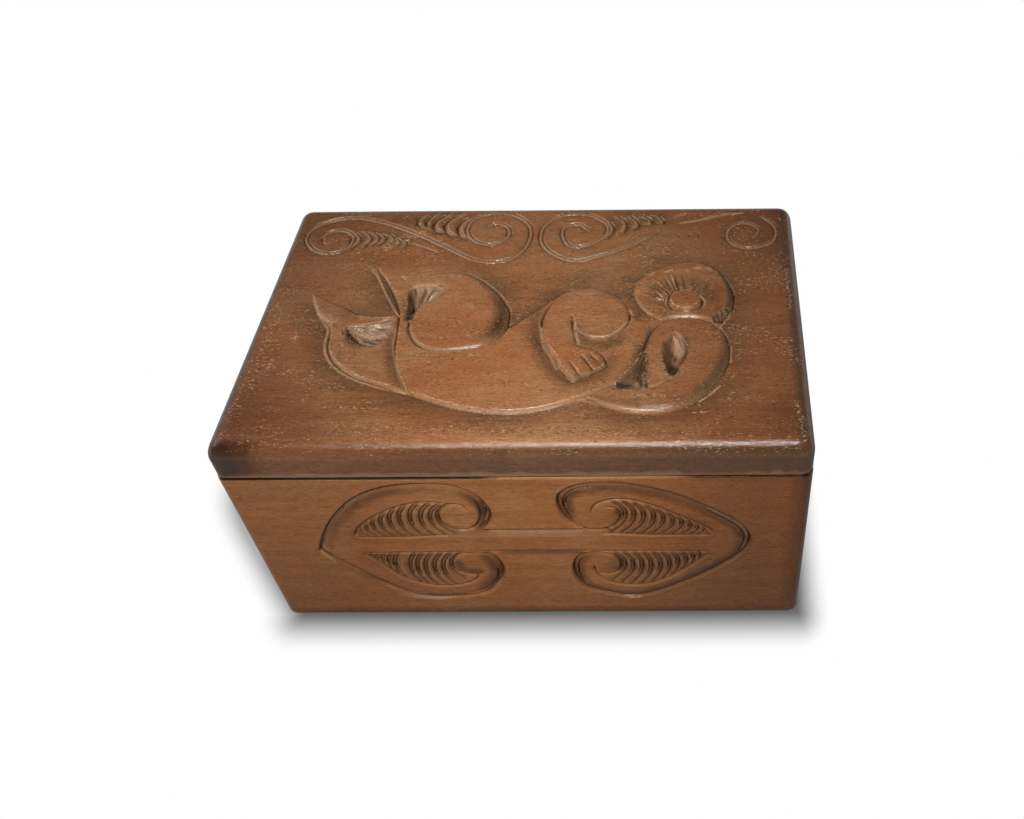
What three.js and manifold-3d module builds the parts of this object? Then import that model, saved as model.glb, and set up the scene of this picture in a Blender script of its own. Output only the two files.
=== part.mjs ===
// Carved wooden box with a hinged lid. Millimetres, +Z up, front face towards -Y,
// origin at the middle of the underside.

import * as THREE from 'three';
import { mergeVertices } from 'three/addons/utils/BufferGeometryUtils.js';
import Module from 'manifold-3d';

const wasm = await Module();
wasm.setup();

// Driving dimensions: the box
const boxWidth = 200;
const boxDepth = 131.5;
const bodyHeight = 84.4;
const lidThickness = 14.8;
const seamGap = 0.4;
const wallThickness = 10;
const bottomThickness = 8;
const rebateDepth = 6;
const glueGap = 0.1;
const bodyCornerRadius = 4;
const bodyBottomRadius = 2;
const lidCornerRadius = 4.5;
const lidTopRadius = 6.6;
const lidArris = 0.8;

// Driving dimensions: hinges and screws
const hingeLength = 32;
const hingeLeafWidth = 9;
const hingeInset = 28;
const leafThickness = 1;
const knuckleRadius = 2;
const knuckleCount = 5;
const pinRadius = 0.9;
const axisProud = 0.5;
const runningGap = 0.3;
const screwLength = 7;
const screwShankRadius = 1;
const screwHeadRadius = 2;
const screwHeadDepth = 1;
const screwSlotWidth = 0.5;
const screwSlotDepth = 0.5;
const screwsPerLeaf = 3;
const screwEndMargin = 5;
const screwTipLength = 2;
const screwSides = 10;

// Driving dimensions: carving
const cutTurn = THREE.MathUtils.degToRad(19);
const cutLongestStep = 8;
const cutShortestStep = 1;
const cutAbove = 0.4;
const cutEndShare = 0.12;
const scrollGap = 1.15;
const scrollWidth = 0.85;
const scrollDepth = 0.9;
const crescentWidth = 0.75;
const crescentDepth = 0.8;

// Levels and places that follow from them
const seamHeight = bodyHeight + seamGap / 2;
const lidBottom = bodyHeight + seamGap;
const lidTop = lidBottom + lidThickness;
const axisY = boxDepth / 2 + axisProud;
const axisZ = seamHeight;
const cornerSteps = 5;

const group = new THREE.Group();

const outerWood = { color: 0x9c5b36, roughness: 0.45, metalness: 0 };
const plainWood = { color: 0x8a5433, roughness: 0.6, metalness: 0 };
const brass = { color: 0xb08d4c, roughness: 0.35, metalness: 1 };
const steel = { color: 0x8d8a84, roughness: 0.35, metalness: 1 };

// Solids

function solidOf(geometry) {
  const bare = geometry.index ? geometry.toNonIndexed() : geometry.clone();
  bare.deleteAttribute('normal');
  bare.deleteAttribute('uv');
  const merged = mergeVertices(bare, 1e-4);
  const mesh = new wasm.Mesh({
    numProp: 3,
    vertProperties: new Float32Array(merged.attributes.position.array),
    triVerts: new Uint32Array(merged.index.array),
  });
  return new wasm.Manifold(mesh);
}

function geometryOf(solid) {
  const mesh = solid.getMesh();
  const geometry = new THREE.BufferGeometry();
  geometry.setAttribute('position', new THREE.BufferAttribute(new Float32Array(mesh.vertProperties), 3));
  geometry.setIndex(new THREE.BufferAttribute(new Uint32Array(mesh.triVerts), 1));
  const flat = geometry.toNonIndexed();
  flat.computeVertexNormals();
  return flat;
}

function addPiece(name, solid, finish) {
  const mesh = new THREE.Mesh(geometryOf(solid), new THREE.MeshStandardMaterial(finish));
  mesh.name = name;
  group.add(mesh);
}

function block(x0, x1, y0, y1, z0, z1) {
  const geometry = new THREE.BoxGeometry(x1 - x0, y1 - y0, z1 - z0);
  geometry.translate((x0 + x1) / 2, (y0 + y1) / 2, (z0 + z1) / 2);
  return solidOf(geometry);
}

// A rod along X, centred on (y, z)
function rodAlongX(radius, x0, x1, y, z, sides = 20) {
  const geometry = new THREE.CylinderGeometry(radius, radius, x1 - x0, sides);
  geometry.rotateZ(Math.PI / 2);
  geometry.translate((x0 + x1) / 2, y, z);
  return solidOf(geometry);
}

// Closed mesh from rings with the same number of points. Each ring runs counterclockwise seen from
// where the rings lead to. The ends are closed by fans, unless the last ring leads back to the first.
function loft(rings, isLoop = false) {
  const count = rings[0].length;
  const positions = rings.flat(2);
  const indices = [];
  for (let level = 0; level < rings.length - (isLoop ? 0 : 1); level += 1) {
    const here = level * count;
    const next = ((level + 1) % rings.length) * count;
    for (let k = 0; k < count; k += 1) {
      const after = (k + 1) % count;
      indices.push(here + k, here + after, next + after, here + k, next + after, next + k);
    }
  }
  const closeEnd = (level, isLast) => {
    const ring = rings[level];
    const centre = positions.length / 3;
    positions.push(...[0, 1, 2].map((axis) => ring.reduce((sum, point) => sum + point[axis], 0) / count));
    for (let k = 0; k < count; k += 1) {
      const a = level * count + k;
      const b = level * count + ((k + 1) % count);
      indices.push(centre, isLast ? a : b, isLast ? b : a);
    }
  };
  if (!isLoop) {
    closeEnd(0, false);
    closeEnd(rings.length - 1, true);
  }
  const geometry = new THREE.BufferGeometry();
  geometry.setAttribute('position', new THREE.Float32BufferAttribute(positions, 3));
  geometry.setIndex(indices);
  return geometry;
}

// Rectangle with round corners at height z, inset from the box outline
function outlineRing(inset, cornerRadius, z) {
  const halfX = boxWidth / 2 - inset - cornerRadius;
  const halfY = boxDepth / 2 - inset - cornerRadius;
  const corners = [[halfX, halfY, 0], [-halfX, halfY, 90], [-halfX, -halfY, 180], [halfX, -halfY, 270]];
  const ring = [];
  corners.forEach(([cx, cy, start]) => {
    for (let k = 0; k <= cornerSteps; k += 1) {
      const angle = THREE.MathUtils.degToRad(start + (90 * k) / cornerSteps);
      ring.push([cx + cornerRadius * Math.cos(angle), cy + cornerRadius * Math.sin(angle), z]);
    }
  });
  return ring;
}

// Envelopes

// Round over a horizontal edge: insets and drops of a quarter circle, from the edge inwards
function roundOver(radius, steps) {
  const points = [];
  for (let k = 0; k <= steps; k += 1) {
    const angle = (Math.PI / 2) * (k / steps);
    points.push([radius * (1 - Math.cos(angle)), radius * (1 - Math.sin(angle))]);
  }
  return points;
}

const bottomRound = roundOver(bodyBottomRadius, 3).reverse();
const bodyEnvelope = solidOf(loft([
  ...bottomRound.map(([inset, rise]) => outlineRing(inset, bodyCornerRadius - inset / 2, rise)),
  outlineRing(0, bodyCornerRadius, bodyHeight),
]));

const lidEnvelope = solidOf(loft([
  outlineRing(lidArris, lidCornerRadius, lidBottom),
  outlineRing(0, lidCornerRadius, lidBottom + lidArris),
  ...roundOver(lidTopRadius, 6).map(([inset, drop]) => outlineRing(inset, lidCornerRadius, lidTop - drop)),
]));

// Carving
// A stroke is drawn on a face in (u, v) and cut into it: lid (u, v) = (x, y), front (u, v) = (x, z).
// left and right are the widths of the two walls, seen along the direction of travel.

function curveOf(points, isLoop = false) {
  const path = points.map(([u, v]) => new THREE.Vector3(u, v, 0));
  return new THREE.CatmullRomCurve3(path, isLoop, 'centripetal');
}

// Lengths along a curve where a cutter has a section: close together where the curve turns, at the ends
// of the fades, and never further apart than the longest step
function sectionPlaces(curve, length, fadeIn, fadeOut) {
  const samples = Math.ceil(length / 0.5);
  const places = [0, fadeIn, length - fadeOut, length];
  let turned = 0;
  let run = 0;
  let before = curve.getTangentAt(0);
  for (let k = 1; k < samples; k += 1) {
    const tangent = curve.getTangentAt(k / samples);
    turned += tangent.angleTo(before);
    run += length / samples;
    before = tangent;
    if (turned >= cutTurn || run >= cutLongestStep) {
      places.push((length * k) / samples);
      turned = 0;
      run = 0;
    }
  }
  const kept = [0];
  places.sort((a, b) => a - b).forEach((place) => {
    if (place - kept[kept.length - 1] >= cutShortestStep && length - place >= cutShortestStep) {
      kept.push(place);
    }
  });
  return [...kept, length];
}

function gouge({ points, left, right, depth, fadeIn = 0, fadeOut = 0, shift = 0, isLoop = false }) {
  const curve = curveOf(points, isLoop);
  const length = curve.getLength();
  const above = 1 + cutAbove / depth;
  const places = sectionPlaces(curve, length, fadeIn, fadeOut);
  const rings = (isLoop ? places.slice(0, -1) : places).map((along) => {
    const point = curve.getPointAt(along / length);
    const tangent = curve.getTangentAt(along / length);
    const rampIn = fadeIn > 0 ? along / fadeIn : 1;
    const rampOut = fadeOut > 0 ? (length - along) / fadeOut : 1;
    const size = THREE.MathUtils.clamp(Math.min(rampIn, rampOut), cutEndShare, 1);
    const across = (distance, height) => [
      point.x - tangent.y * (shift + distance), point.y + tangent.x * (shift + distance), height,
    ];
    return [
      across(left * size * above, cutAbove * size),
      across(-right * size * above, cutAbove * size),
      across(0, -depth * size),
    ];
  });
  return loft(rings, isLoop);
}

// Two parallel grooves with a ridge between them
function scroll(points, fadeIn, fadeOut) {
  const groove = { points, left: scrollWidth, right: scrollWidth, depth: scrollDepth, fadeIn, fadeOut };
  return [gouge({ ...groove, shift: scrollGap }), gouge({ ...groove, shift: -scrollGap })];
}

// A hollow whose floor falls from its rim to one low point
function hollow(points, low, depth) {
  const [lowU, lowV] = low;
  const grow = 1 + cutAbove / depth;
  const rim = points.map(([u, v]) => [lowU + (u - lowU) * grow, lowV + (v - lowV) * grow, cutAbove]);
  const shrink = 0.06;
  const floor = points.map(([u, v]) => [lowU + (u - lowU) * shrink, lowV + (v - lowV) * shrink, -depth]);
  return loft([floor, rim]);
}

function ellipsePoints(cu, cv, ru, rv, count) {
  const points = [];
  for (let k = 0; k < count; k += 1) {
    const angle = (2 * Math.PI * k) / count;
    points.push([cu + ru * Math.cos(angle), cv + rv * Math.sin(angle)]);
  }
  return points;
}

// Crescent chips that fill a pointed leaf from its scroll to its tip. from and to are where the first
// and last crescents bulge furthest; head and foot give the edges of the leaf along the way.
function leafCrescents({ from, to, count, lean, head, foot }) {
  const chips = [];
  for (let k = 0; k < count; k += 1) {
    const share = k / (count - 1);
    const along = share * (1.25 - 0.25 * share);
    const u = THREE.MathUtils.lerp(from, to, along);
    const top = head(along);
    const bottom = foot(along);
    const curl = lean * (1 - 0.8 * along);
    const points = [
      [u + curl, top], [u + curl * 0.2, (3 * top + bottom) / 4], [u, (top + bottom) / 2],
      [u + curl * 0.15, (top + 3 * bottom) / 4], [u + curl * 0.7, bottom],
    ];
    const fade = Math.min(3, (top - bottom) / 4);
    chips.push(gouge({
      points, left: crescentWidth, right: crescentWidth, depth: crescentDepth,
      fadeIn: fade, fadeOut: fade,
    }));
  }
  return chips;
}

// Front carving: two scrolled leaves joined by a raised bar, inside one outline at each end

const frontStrokes = [
  // Left end: upper and lower outline, both drawn clockwise
  gouge({
    points: [[-76, 43], [-72, 52.8], [-65, 64.3], [-55, 74.7], [-45, 79.7], [-33, 81.6], [-22, 80.6],
      [-14.5, 75.5], [-10.9, 67], [-11.8, 60], [-14, 56.3]],
    left: 0.6, right: 3.6, depth: 1.7, fadeOut: 5,
  }),
  gouge({
    points: [[-19.7, 41.7], [-14, 39.5], [-11.2, 31], [-12.7, 24.3], [-19, 15.7], [-28.3, 12.6],
      [-41.7, 12.4], [-50.3, 16], [-59.7, 24.3], [-69, 34.3], [-73.6, 40], [-76, 43]],
    left: 1.8, right: 1.2, depth: 1.6, fadeIn: 5,
  }),
  // Left end: scroll and edge of the upper leaf
  gouge({
    points: [[-17.4, 76], [-14.6, 69], [-14.7, 62], [-18, 56.6], [-23.7, 55.8], [-28.3, 59.3],
      [-28.9, 65], [-25, 69.8], [-20.5, 69.6], [-18, 65.6]],
    left: 0.8, right: 0.8, depth: 1, fadeIn: 6, fadeOut: 3,
  }),
  gouge({
    points: [[-23.7, 70.4], [-31, 71.8], [-39.7, 70], [-50, 64.7], [-58.5, 57], [-61.5, 51.4]],
    left: 1.4, right: 0.6, depth: 1, fadeIn: 4, fadeOut: 2,
  }),
  // Left end: scroll and edge of the lower leaf
  gouge({
    points: [[-18.7, 29.6], [-20.5, 27], [-24.5, 27.6], [-28.8, 30.4], [-29.2, 35], [-25.7, 40.3],
      [-19.5, 41.5]],
    left: 0.8, right: 0.8, depth: 1, fadeIn: 3, fadeOut: 6,
  }),
  gouge({
    points: [[-20, 28.6], [-22.3, 23.4], [-29.7, 20], [-39, 20], [-49, 25], [-55, 33.7], [-61, 41.6]],
    left: 0.6, right: 1.2, depth: 1, fadeIn: 3, fadeOut: 2,
  }),
  // Right end: one outline from the upper scroll round the tip to the lower scroll
  gouge({
    points: [[20, 55.6], [15.7, 60.3], [13.3, 68.3], [14, 75], [18.7, 79.4], [26.7, 81.5], [36, 81.2],
      [50, 76.8], [64.7, 67.8], [76.7, 56.8], [79.6, 50], [77.7, 41], [65.3, 27.7], [49.3, 16.4],
      [41, 12.2], [35.3, 11.4], [26, 14.2], [19, 17.6], [15.7, 25], [15.6, 34], [18.5, 39.6], [23, 41.4]],
    left: 0.6, right: 3.4, depth: 1.7, fadeIn: 4, fadeOut: 5,
  }),
  // Right end: scroll and edge of the upper leaf
  gouge({
    points: [[23.8, 63.9], [26, 69], [30.7, 71.8], [37, 72], [44, 69.5], [52, 64.4], [60, 59],
      [65.7, 54.2], [66.7, 52]],
    left: 1.2, right: 0.6, depth: 1, fadeIn: 3, fadeOut: 2,
  }),
  gouge({
    points: [[28.7, 68.4], [32.3, 67.7], [34.4, 63.7], [32.6, 58.4], [28.5, 55.7], [23, 55.3],
      [18.6, 59], [16.1, 65], [16, 71.5], [18.6, 76.4]],
    left: 0.8, right: 0.8, depth: 1, fadeIn: 3, fadeOut: 6,
  }),
  // Right end: scroll and edge of the lower leaf
  gouge({
    points: [[22.9, 33.5], [23.3, 28.4], [26, 23.7], [31, 20.8], [38, 19.8], [46, 22], [52.7, 27],
      [58.7, 33], [65.6, 40.6]],
    left: 0.6, right: 1.2, depth: 1, fadeIn: 3, fadeOut: 2,
  }),
  gouge({
    points: [[24.2, 29.6], [27.5, 27.2], [31.6, 29.2], [32.8, 33.4], [31, 38.6], [27, 40.6], [22, 41.2]],
    left: 0.8, right: 0.8, depth: 1, fadeIn: 3, fadeOut: 6,
  }),
  // Straight edges of the bar between the leaves
  gouge({ points: [[-14, 55.2], [22, 55.2]], left: 0.5, right: 4, depth: 1.5, fadeIn: 4, fadeOut: 4 }),
  gouge({ points: [[-61.5, 51.4], [-45, 51.2], [-28, 52.2]], left: 0.7, right: 0.7, depth: 0.9, fadeIn: 3 }),
  gouge({ points: [[28, 53], [45, 51.6], [66.7, 51.8]], left: 0.7, right: 0.7, depth: 0.9, fadeOut: 3 }),
  gouge({ points: [[-19, 42.6], [21, 42.6]], left: 0.5, right: 2.4, depth: 1.2, fadeIn: 4, fadeOut: 4 }),
  gouge({ points: [[-61, 41.6], [-45, 41.7], [-24, 41.9]], left: 0.7, right: 0.7, depth: 0.9, fadeIn: 3 }),
  gouge({ points: [[26, 41.9], [45, 41.9], [65.4, 41.4]], left: 0.7, right: 0.7, depth: 0.9, fadeOut: 3 }),
  // Crescents
  ...leafCrescents({
    from: -32.6, to: -59.6, count: 12, lean: 4.2,
    head: (along) => 70.6 - 15.4 * along ** 1.5, foot: () => 52.6,
  }),
  ...leafCrescents({
    from: -33, to: -58, count: 12, lean: 3.6,
    head: () => 41, foot: (along) => 21.6 + 16.4 * along ** 2,
  }),
  ...leafCrescents({
    from: 37, to: 64.4, count: 12, lean: -4.2,
    head: (along) => 70.8 - 16.4 * along ** 1.4, foot: () => 52.8,
  }),
  ...leafCrescents({
    from: 36.4, to: 62, count: 12, lean: -3.6,
    head: () => 41, foot: (along) => 21.2 + 16.6 * along ** 1.6,
  }),
];

// Lid carving: scrolls along the back edge and a crouching bird-headed figure in front of them

const lidStrokes = [
  // Scroll from the left end to the ring left of the middle
  ...scroll([[-86.3, 44.7], [-84, 48.5], [-79, 49.1], [-74.4, 45.6], [-74.6, 39.4], [-80.7, 34.9],
    [-88, 37.2], [-92.6, 44.4], [-91, 51], [-85, 55.6], [-76, 57.1], [-64, 54], [-48, 45.7], [-34, 36.4],
    [-24, 30], [-15, 28.9], [-8.3, 32.5], [-4.2, 41.5], [-5, 51.3], [-10.7, 57.6], [-19, 59.8],
    [-27, 57], [-29.5, 49.3], [-26, 42.3], [-19.3, 39.7], [-13, 44], [-14, 51], [-19, 53], [-22, 50.4]],
  3, 3),
  // Scroll from the ring right of the middle towards the right end
  ...scroll([[44, 44.4], [35, 37.8], [25, 32.6], [15, 29.2], [7, 32.6], [1, 40], [0.4, 49], [4.4, 56],
    [11, 58.9], [19, 57.8], [25.4, 52.4], [26, 45.8], [20, 39.4], [13, 37.9], [9.2, 43], [9, 50],
    [14.6, 52.1], [19.4, 47]], 8, 3),
  // Single scroll at the right end
  gouge({
    points: [[85.5, 46.7], [83.6, 50.9], [78.8, 51.8], [73.8, 47.6], [74, 40.4], [80, 36.2], [87, 37],
      [92, 42.4], [92.6, 49], [88.6, 55.2], [80, 58.6], [70.7, 57.7], [58, 53], [52, 50.4]],
    left: 0.8, right: 0.8, depth: 0.6, fadeIn: 4, fadeOut: 14,
  }),
  gouge({
    points: [[50, 55], [54.7, 57.3], [60, 59]],
    left: 0.9, right: 0.5, depth: 0.7, fadeIn: 3, fadeOut: 4,
  }),

  // Beak: the gouge that parts it from the crest, the mouth line and the two hollows behind it
  gouge({
    points: [[-62.4, 25.4], [-57, 16.8], [-52.2, 8.6], [-47.4, -0.6]],
    left: 0.9, right: 0.9, depth: 1.3, fadeIn: 7,
  }),
  gouge({
    points: [[-66.5, 2], [-62, -0.7], [-55, -1.8], [-47.6, -0.4]],
    left: 1.6, right: 0.5, depth: 1.1, fadeIn: 6,
  }),
  hollow([[-46, 13], [-40.3, 15.4], [-34.4, 14.4], [-32.3, 11.6], [-35.6, 7], [-39.4, 4], [-42.3, -3.7],
    [-44.6, -2.4], [-45, 5]].reverse(), [-43.4, 6], 2.6),
  hollow([[-65, -7.4], [-56, -4.6], [-49.7, -2.3], [-47, -3], [-47, -9], [-49.6, -15.6], [-56, -17.8],
    [-61, -16]].reverse(), [-57, -13.6], 2.6),

  // Head disc
  gouge({
    points: [[-39.7, 21.6], [-29, 23.2], [-18.5, 18], [-10.6, 8.6], [-7, -1], [-8, -12.6], [-16, -18],
      [-28, -19.8], [-37.4, -15.6], [-42.6, -7], [-42, -2]],
    left: 1, right: 4.4, depth: 1.5, fadeIn: 8, fadeOut: 4,
  }),

  // Crest, throat and the long lower edge of the body, drawn from the crest tip to the tail
  gouge({
    points: [[-80.5, 8.4], [-75, -1.6], [-71, -8.6], [-70, -17.7], [-65.7, -25.8], [-57.7, -31.8],
      [-46, -37], [-35, -41], [-22, -46.6], [-9, -49.2], [2, -49.5], [13.3, -46.8], [24, -41.6],
      [33, -35.8]],
    left: 0.9, right: 3.4, depth: 1.6, fadeIn: 10, fadeOut: 3,
  }),
  gouge({
    points: [[-47.3, -1.2], [-46.6, -14], [-44.2, -26], [-38, -39.2]],
    left: 0.7, right: 1.9, depth: 1.2,
  }),
  gouge({
    points: [[-7.4, -10.8], [-2.3, -4.3], [4.3, 4], [8, 7.4]],
    left: 1, right: 0.8, depth: 0.8, fadeIn: 3, fadeOut: 3,
  }),

  // Shoulder disc, arm and hand
  gouge({
    points: [[5.2, -11.7], [5.8, -2.7], [9.7, 8.3], [15, 13.2], [23, 14.1], [32.3, 7.9], [37, -1],
      [34.6, -10.4], [28, -13.7], [20, -11], [16, -2]],
    left: 1.6, right: 0.9, depth: 1.1, fadeIn: 6, fadeOut: 4,
  }),
  gouge({
    points: [[16, -1.7], [15.2, -8], [17, -15.4], [19.6, -18.6]],
    left: 1.1, right: 0.6, depth: 1.2, fadeIn: 3, fadeOut: 3,
  }),
  gouge({
    points: [[5.2, -11.7], [9.4, -19.4], [12.3, -27.2], [18.8, -34.6]],
    left: 1.2, right: 2.4, depth: 1.6, fadeIn: 3,
  }),
  gouge({
    points: [[18.8, -34.6], [25, -29], [31, -25.9]],
    left: 0.7, right: 1.6, depth: 1.3, fadeOut: 3,
  }),
  gouge({ points: [[31, -25.9], [25, -21.7], [22.3, -19.4]], left: 0.6, right: 1.2, depth: 0.9, fadeOut: 2 }),
  gouge({ points: [[16.3, -24.6], [20.6, -31]], left: 0.5, right: 0.5, depth: 0.9, fadeIn: 3 }),
  gouge({ points: [[20.5, -21.8], [25, -29]], left: 0.5, right: 0.5, depth: 0.9, fadeIn: 3 }),

  // Upper loop: ring, sunk bowl and the boss in it
  gouge({
    points: [[49, -4.7], [42, 2.3], [39, 13], [42, 21.6], [51, 27.4], [61, 28.4], [70.4, 22.4],
      [75, 11], [73, -0.3], [69.2, -8.2]],
    left: 2.6, right: 0.8, depth: 1.3,
  }),
  gouge({ points: ellipsePoints(57, 7.5, 6.4, 5.2, 12), left: 0.9, right: 5.6, depth: 1.6, isLoop: true }),

  // Lower loop: ring, gap beside the body and slit in the middle
  gouge({
    points: [[42, -19.7], [44.3, -11], [49, -5], [57.6, -2.6], [66, -5], [71.6, -12.6], [73, -20],
      [70.7, -30.3], [64, -40.7], [53, -47.8], [40, -49.2], [30.7, -46.7], [24.4, -42.6]],
    left: 1.8, right: 1.2, depth: 1.5, fadeIn: 3, fadeOut: 3,
  }),
  hollow([[42.3, -18.6], [40.3, -25], [35, -33.7], [32.3, -37.2], [38.3, -39.1], [44.3, -38.7],
    [43.8, -29], [44.3, -21.7]], [40.6, -33], 3.2),
  hollow([[54.5, -11.5], [50.6, -15], [49.4, -20], [50.8, -28], [52.3, -33.7], [56.3, -27.7],
    [58.4, -20.6], [57, -15.6]], [53, -21], 2.8),
  gouge({
    points: [[44.3, -38.6], [48.6, -37], [53.6, -31.8]],
    left: 0.5, right: 0.5, depth: 0.7, fadeIn: 1, fadeOut: 1,
  }),

  // Chips in the scrolls
  ...[0, 1, 2, 3, 4, 5, 6].map((k) => gouge({
    points: [[-73.4 + 3.3 * k, 49.6 - 0.6 * k], [-71.4 + 3.3 * k, 45.4 - 0.3 * k], [-73.6 + 3.3 * k, 40.6]],
    left: crescentWidth, right: crescentWidth, depth: crescentDepth, fadeIn: 3, fadeOut: 3,
  })),
  ...[[[-30, 58], [-34, 51.3], [-30.7, 44]], [[-33.3, 59.4], [-38.3, 53.3], [-34.3, 44.7]],
    [[-40, 59.4], [-43, 54], [-39.3, 47.3]], [[-44, 59.2], [-46.7, 56], [-44.3, 50.7]],
  ].map((points) => gouge({
    points, left: crescentWidth, right: crescentWidth, depth: crescentDepth, fadeIn: 3, fadeOut: 3,
  })),
  ...[0, 1, 2, 3, 4].map((k) => gouge({
    points: [[26.6 + 4.6 * k, 58.4], [29.4 + 4.6 * k, 53], [27 + 4.6 * k, 46.6 - 0.4 * k]],
    left: crescentWidth, right: crescentWidth, depth: crescentDepth, fadeIn: 3, fadeOut: 3,
  })),
];

// Turns a cutter drawn in (u, v) onto the front face
function onFront(geometry) {
  return geometry.rotateX(Math.PI / 2).translate(0, -boxDepth / 2, 0);
}

function onLid(geometry) {
  return geometry.translate(0, 0, lidTop);
}

function carve(board, strokes, place) {
  const cutters = strokes.map((geometry) => solidOf(place(geometry)));
  return board.subtract(cutters.reduce((sum, cutter) => sum.add(cutter)));
}

// Hinges
// Each hinge runs along X behind the back wall. A leaf is described at rest by its side of the seam:
// 1 for the leaf let into the lid, -1 for the one let into the back wall.

const leafFar = axisY - hingeLeafWidth;
const screwRowY = (leafFar + boxDepth / 2) / 2;
const segment = hingeLength / knuckleCount;
const hingeCentreX = boxWidth / 2 - hingeInset - hingeLength / 2;
const screwOffsets = [];
for (let k = 0; k < screwsPerLeaf; k += 1) {
  const run = hingeLength - 2 * screwEndMargin;
  screwOffsets.push(-run / 2 + (run * k) / (screwsPerLeaf - 1));
}

// Block given by its distances above the seam on the lid's side, or below it on the wall's side
function sideBlock(side, x0, x1, y0, y1, near, far) {
  const z0 = side > 0 ? axisZ + near : axisZ - far;
  const z1 = side > 0 ? axisZ + far : axisZ - near;
  return block(x0, x1, y0, y1, z0, z1);
}

// Screw driven away from the seam through a leaf; grow widens it into its hole
function screwSolid(side, x, grow, isHole) {
  const profile = [
    [0, -screwLength - grow],
    [screwShankRadius + grow, -screwLength - grow + screwTipLength],
    [screwShankRadius + grow, -screwHeadDepth],
    [screwHeadRadius + grow, isHole ? 0 : -0.15],
    [screwHeadRadius + grow, isHole ? leafThickness : 0],
    [0, isHole ? leafThickness : 0],
  ].map(([r, z]) => new THREE.Vector2(r, z));
  const geometry = new THREE.LatheGeometry(profile, screwSides);
  geometry.rotateX(side > 0 ? -Math.PI / 2 : Math.PI / 2);
  geometry.translate(x, screwRowY, axisZ + side * (knuckleRadius - leafThickness));
  return solidOf(geometry);
}

function screw(side, x) {
  const headTop = knuckleRadius - leafThickness;
  const slot = sideBlock(side, x - screwHeadRadius * 1.2, x + screwHeadRadius * 1.2,
    screwRowY - screwSlotWidth / 2, screwRowY + screwSlotWidth / 2, headTop - 0.1, headTop + screwSlotDepth);
  return screwSolid(side, x, 0, false).subtract(slot);
}

function hingeLeaf(side, centreX) {
  const x0 = centreX - hingeLength / 2;
  const near = knuckleRadius - leafThickness;
  const plateY = axisY - knuckleRadius - runningGap;
  let leaf = sideBlock(side, x0, x0 + hingeLength, leafFar, plateY, near, knuckleRadius);
  for (let k = side > 0 ? 1 : 0; k < knuckleCount; k += 2) {
    const from = x0 + k * segment + (k > 0 ? runningGap / 2 : 0);
    const to = x0 + (k + 1) * segment - (k < knuckleCount - 1 ? runningGap / 2 : 0);
    const tongue = sideBlock(side, from, to, leafFar + 1, axisY, near, knuckleRadius);
    leaf = leaf.add(tongue).add(rodAlongX(knuckleRadius, from, to, axisY, axisZ));
  }
  leaf = leaf.subtract(rodAlongX(pinRadius + runningGap, x0 - 1, x0 + hingeLength + 1, axisY, axisZ, 16));
  screwOffsets.forEach((offset) => {
    leaf = leaf.subtract(screwSolid(side, centreX + offset, runningGap, true));
  });
  return leaf;
}

// What a board loses to one hinge: the mortise for the leaf, room for the knuckles, and screw holes
function hingeSeat(side, centreX) {
  const x0 = centreX - hingeLength / 2 - runningGap;
  const x1 = centreX + hingeLength / 2 + runningGap;
  let seat = sideBlock(side, x0, x1, leafFar - runningGap, boxDepth / 2 + 1, -1, knuckleRadius + glueGap);
  seat = seat.add(rodAlongX(knuckleRadius + runningGap, x0, x1, axisY, axisZ));
  screwOffsets.forEach((offset) => {
    seat = seat.add(screwSolid(side, centreX + offset, runningGap, true));
  });
  return seat;
}

// Boards

const halfWidth = boxWidth / 2;
const halfDepth = boxDepth / 2;
const tongueThickness = wallThickness - rebateDepth;
const insideX = halfWidth - wallThickness;
const insideY = halfDepth - wallThickness;
const endWallY = halfDepth - tongueThickness - glueGap;
const hingeSides = { left: -1, right: 1 };

// Front and back walls run the full width; a rebate at each end takes the end wall
function longWall(side) {
  const y0 = side > 0 ? insideY : -halfDepth;
  const y1 = side > 0 ? halfDepth : -insideY;
  let wall = bodyEnvelope.intersect(block(-halfWidth - 1, halfWidth + 1, y0, y1, -1, bodyHeight + 1));
  Object.values(hingeSides).forEach((end) => {
    const inner = insideX - glueGap;
    const rebateX = end > 0 ? [inner, halfWidth + 1] : [-halfWidth - 1, -inner];
    const depth = halfDepth - tongueThickness;
    const rebateY = side > 0 ? [insideY - 1, depth] : [-depth, -insideY + 1];
    wall = wall.subtract(block(...rebateX, ...rebateY, -1, bodyHeight + 1));
  });
  return wall;
}

function endWall(side) {
  const x0 = side > 0 ? insideX : -halfWidth - 1;
  const x1 = side > 0 ? halfWidth + 1 : -insideX;
  return bodyEnvelope.intersect(block(x0, x1, -endWallY, endWallY, -1, bodyHeight + 1));
}

let backWall = longWall(1);
let lid = carve(lidEnvelope, lidStrokes, onLid);
Object.values(hingeSides).forEach((side) => {
  backWall = backWall.subtract(hingeSeat(-1, side * hingeCentreX));
  lid = lid.subtract(hingeSeat(1, side * hingeCentreX));
});

addPiece('front_board', carve(longWall(-1), frontStrokes, onFront), outerWood);
addPiece('back_board', backWall, outerWood);
addPiece('left_board', endWall(-1), outerWood);
addPiece('right_board', endWall(1), outerWood);
addPiece('bottom_board', block(-insideX + glueGap, insideX - glueGap, -insideY + glueGap, insideY - glueGap,
  0, bottomThickness), plainWood);
addPiece('lid_board', lid, outerWood);

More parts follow.
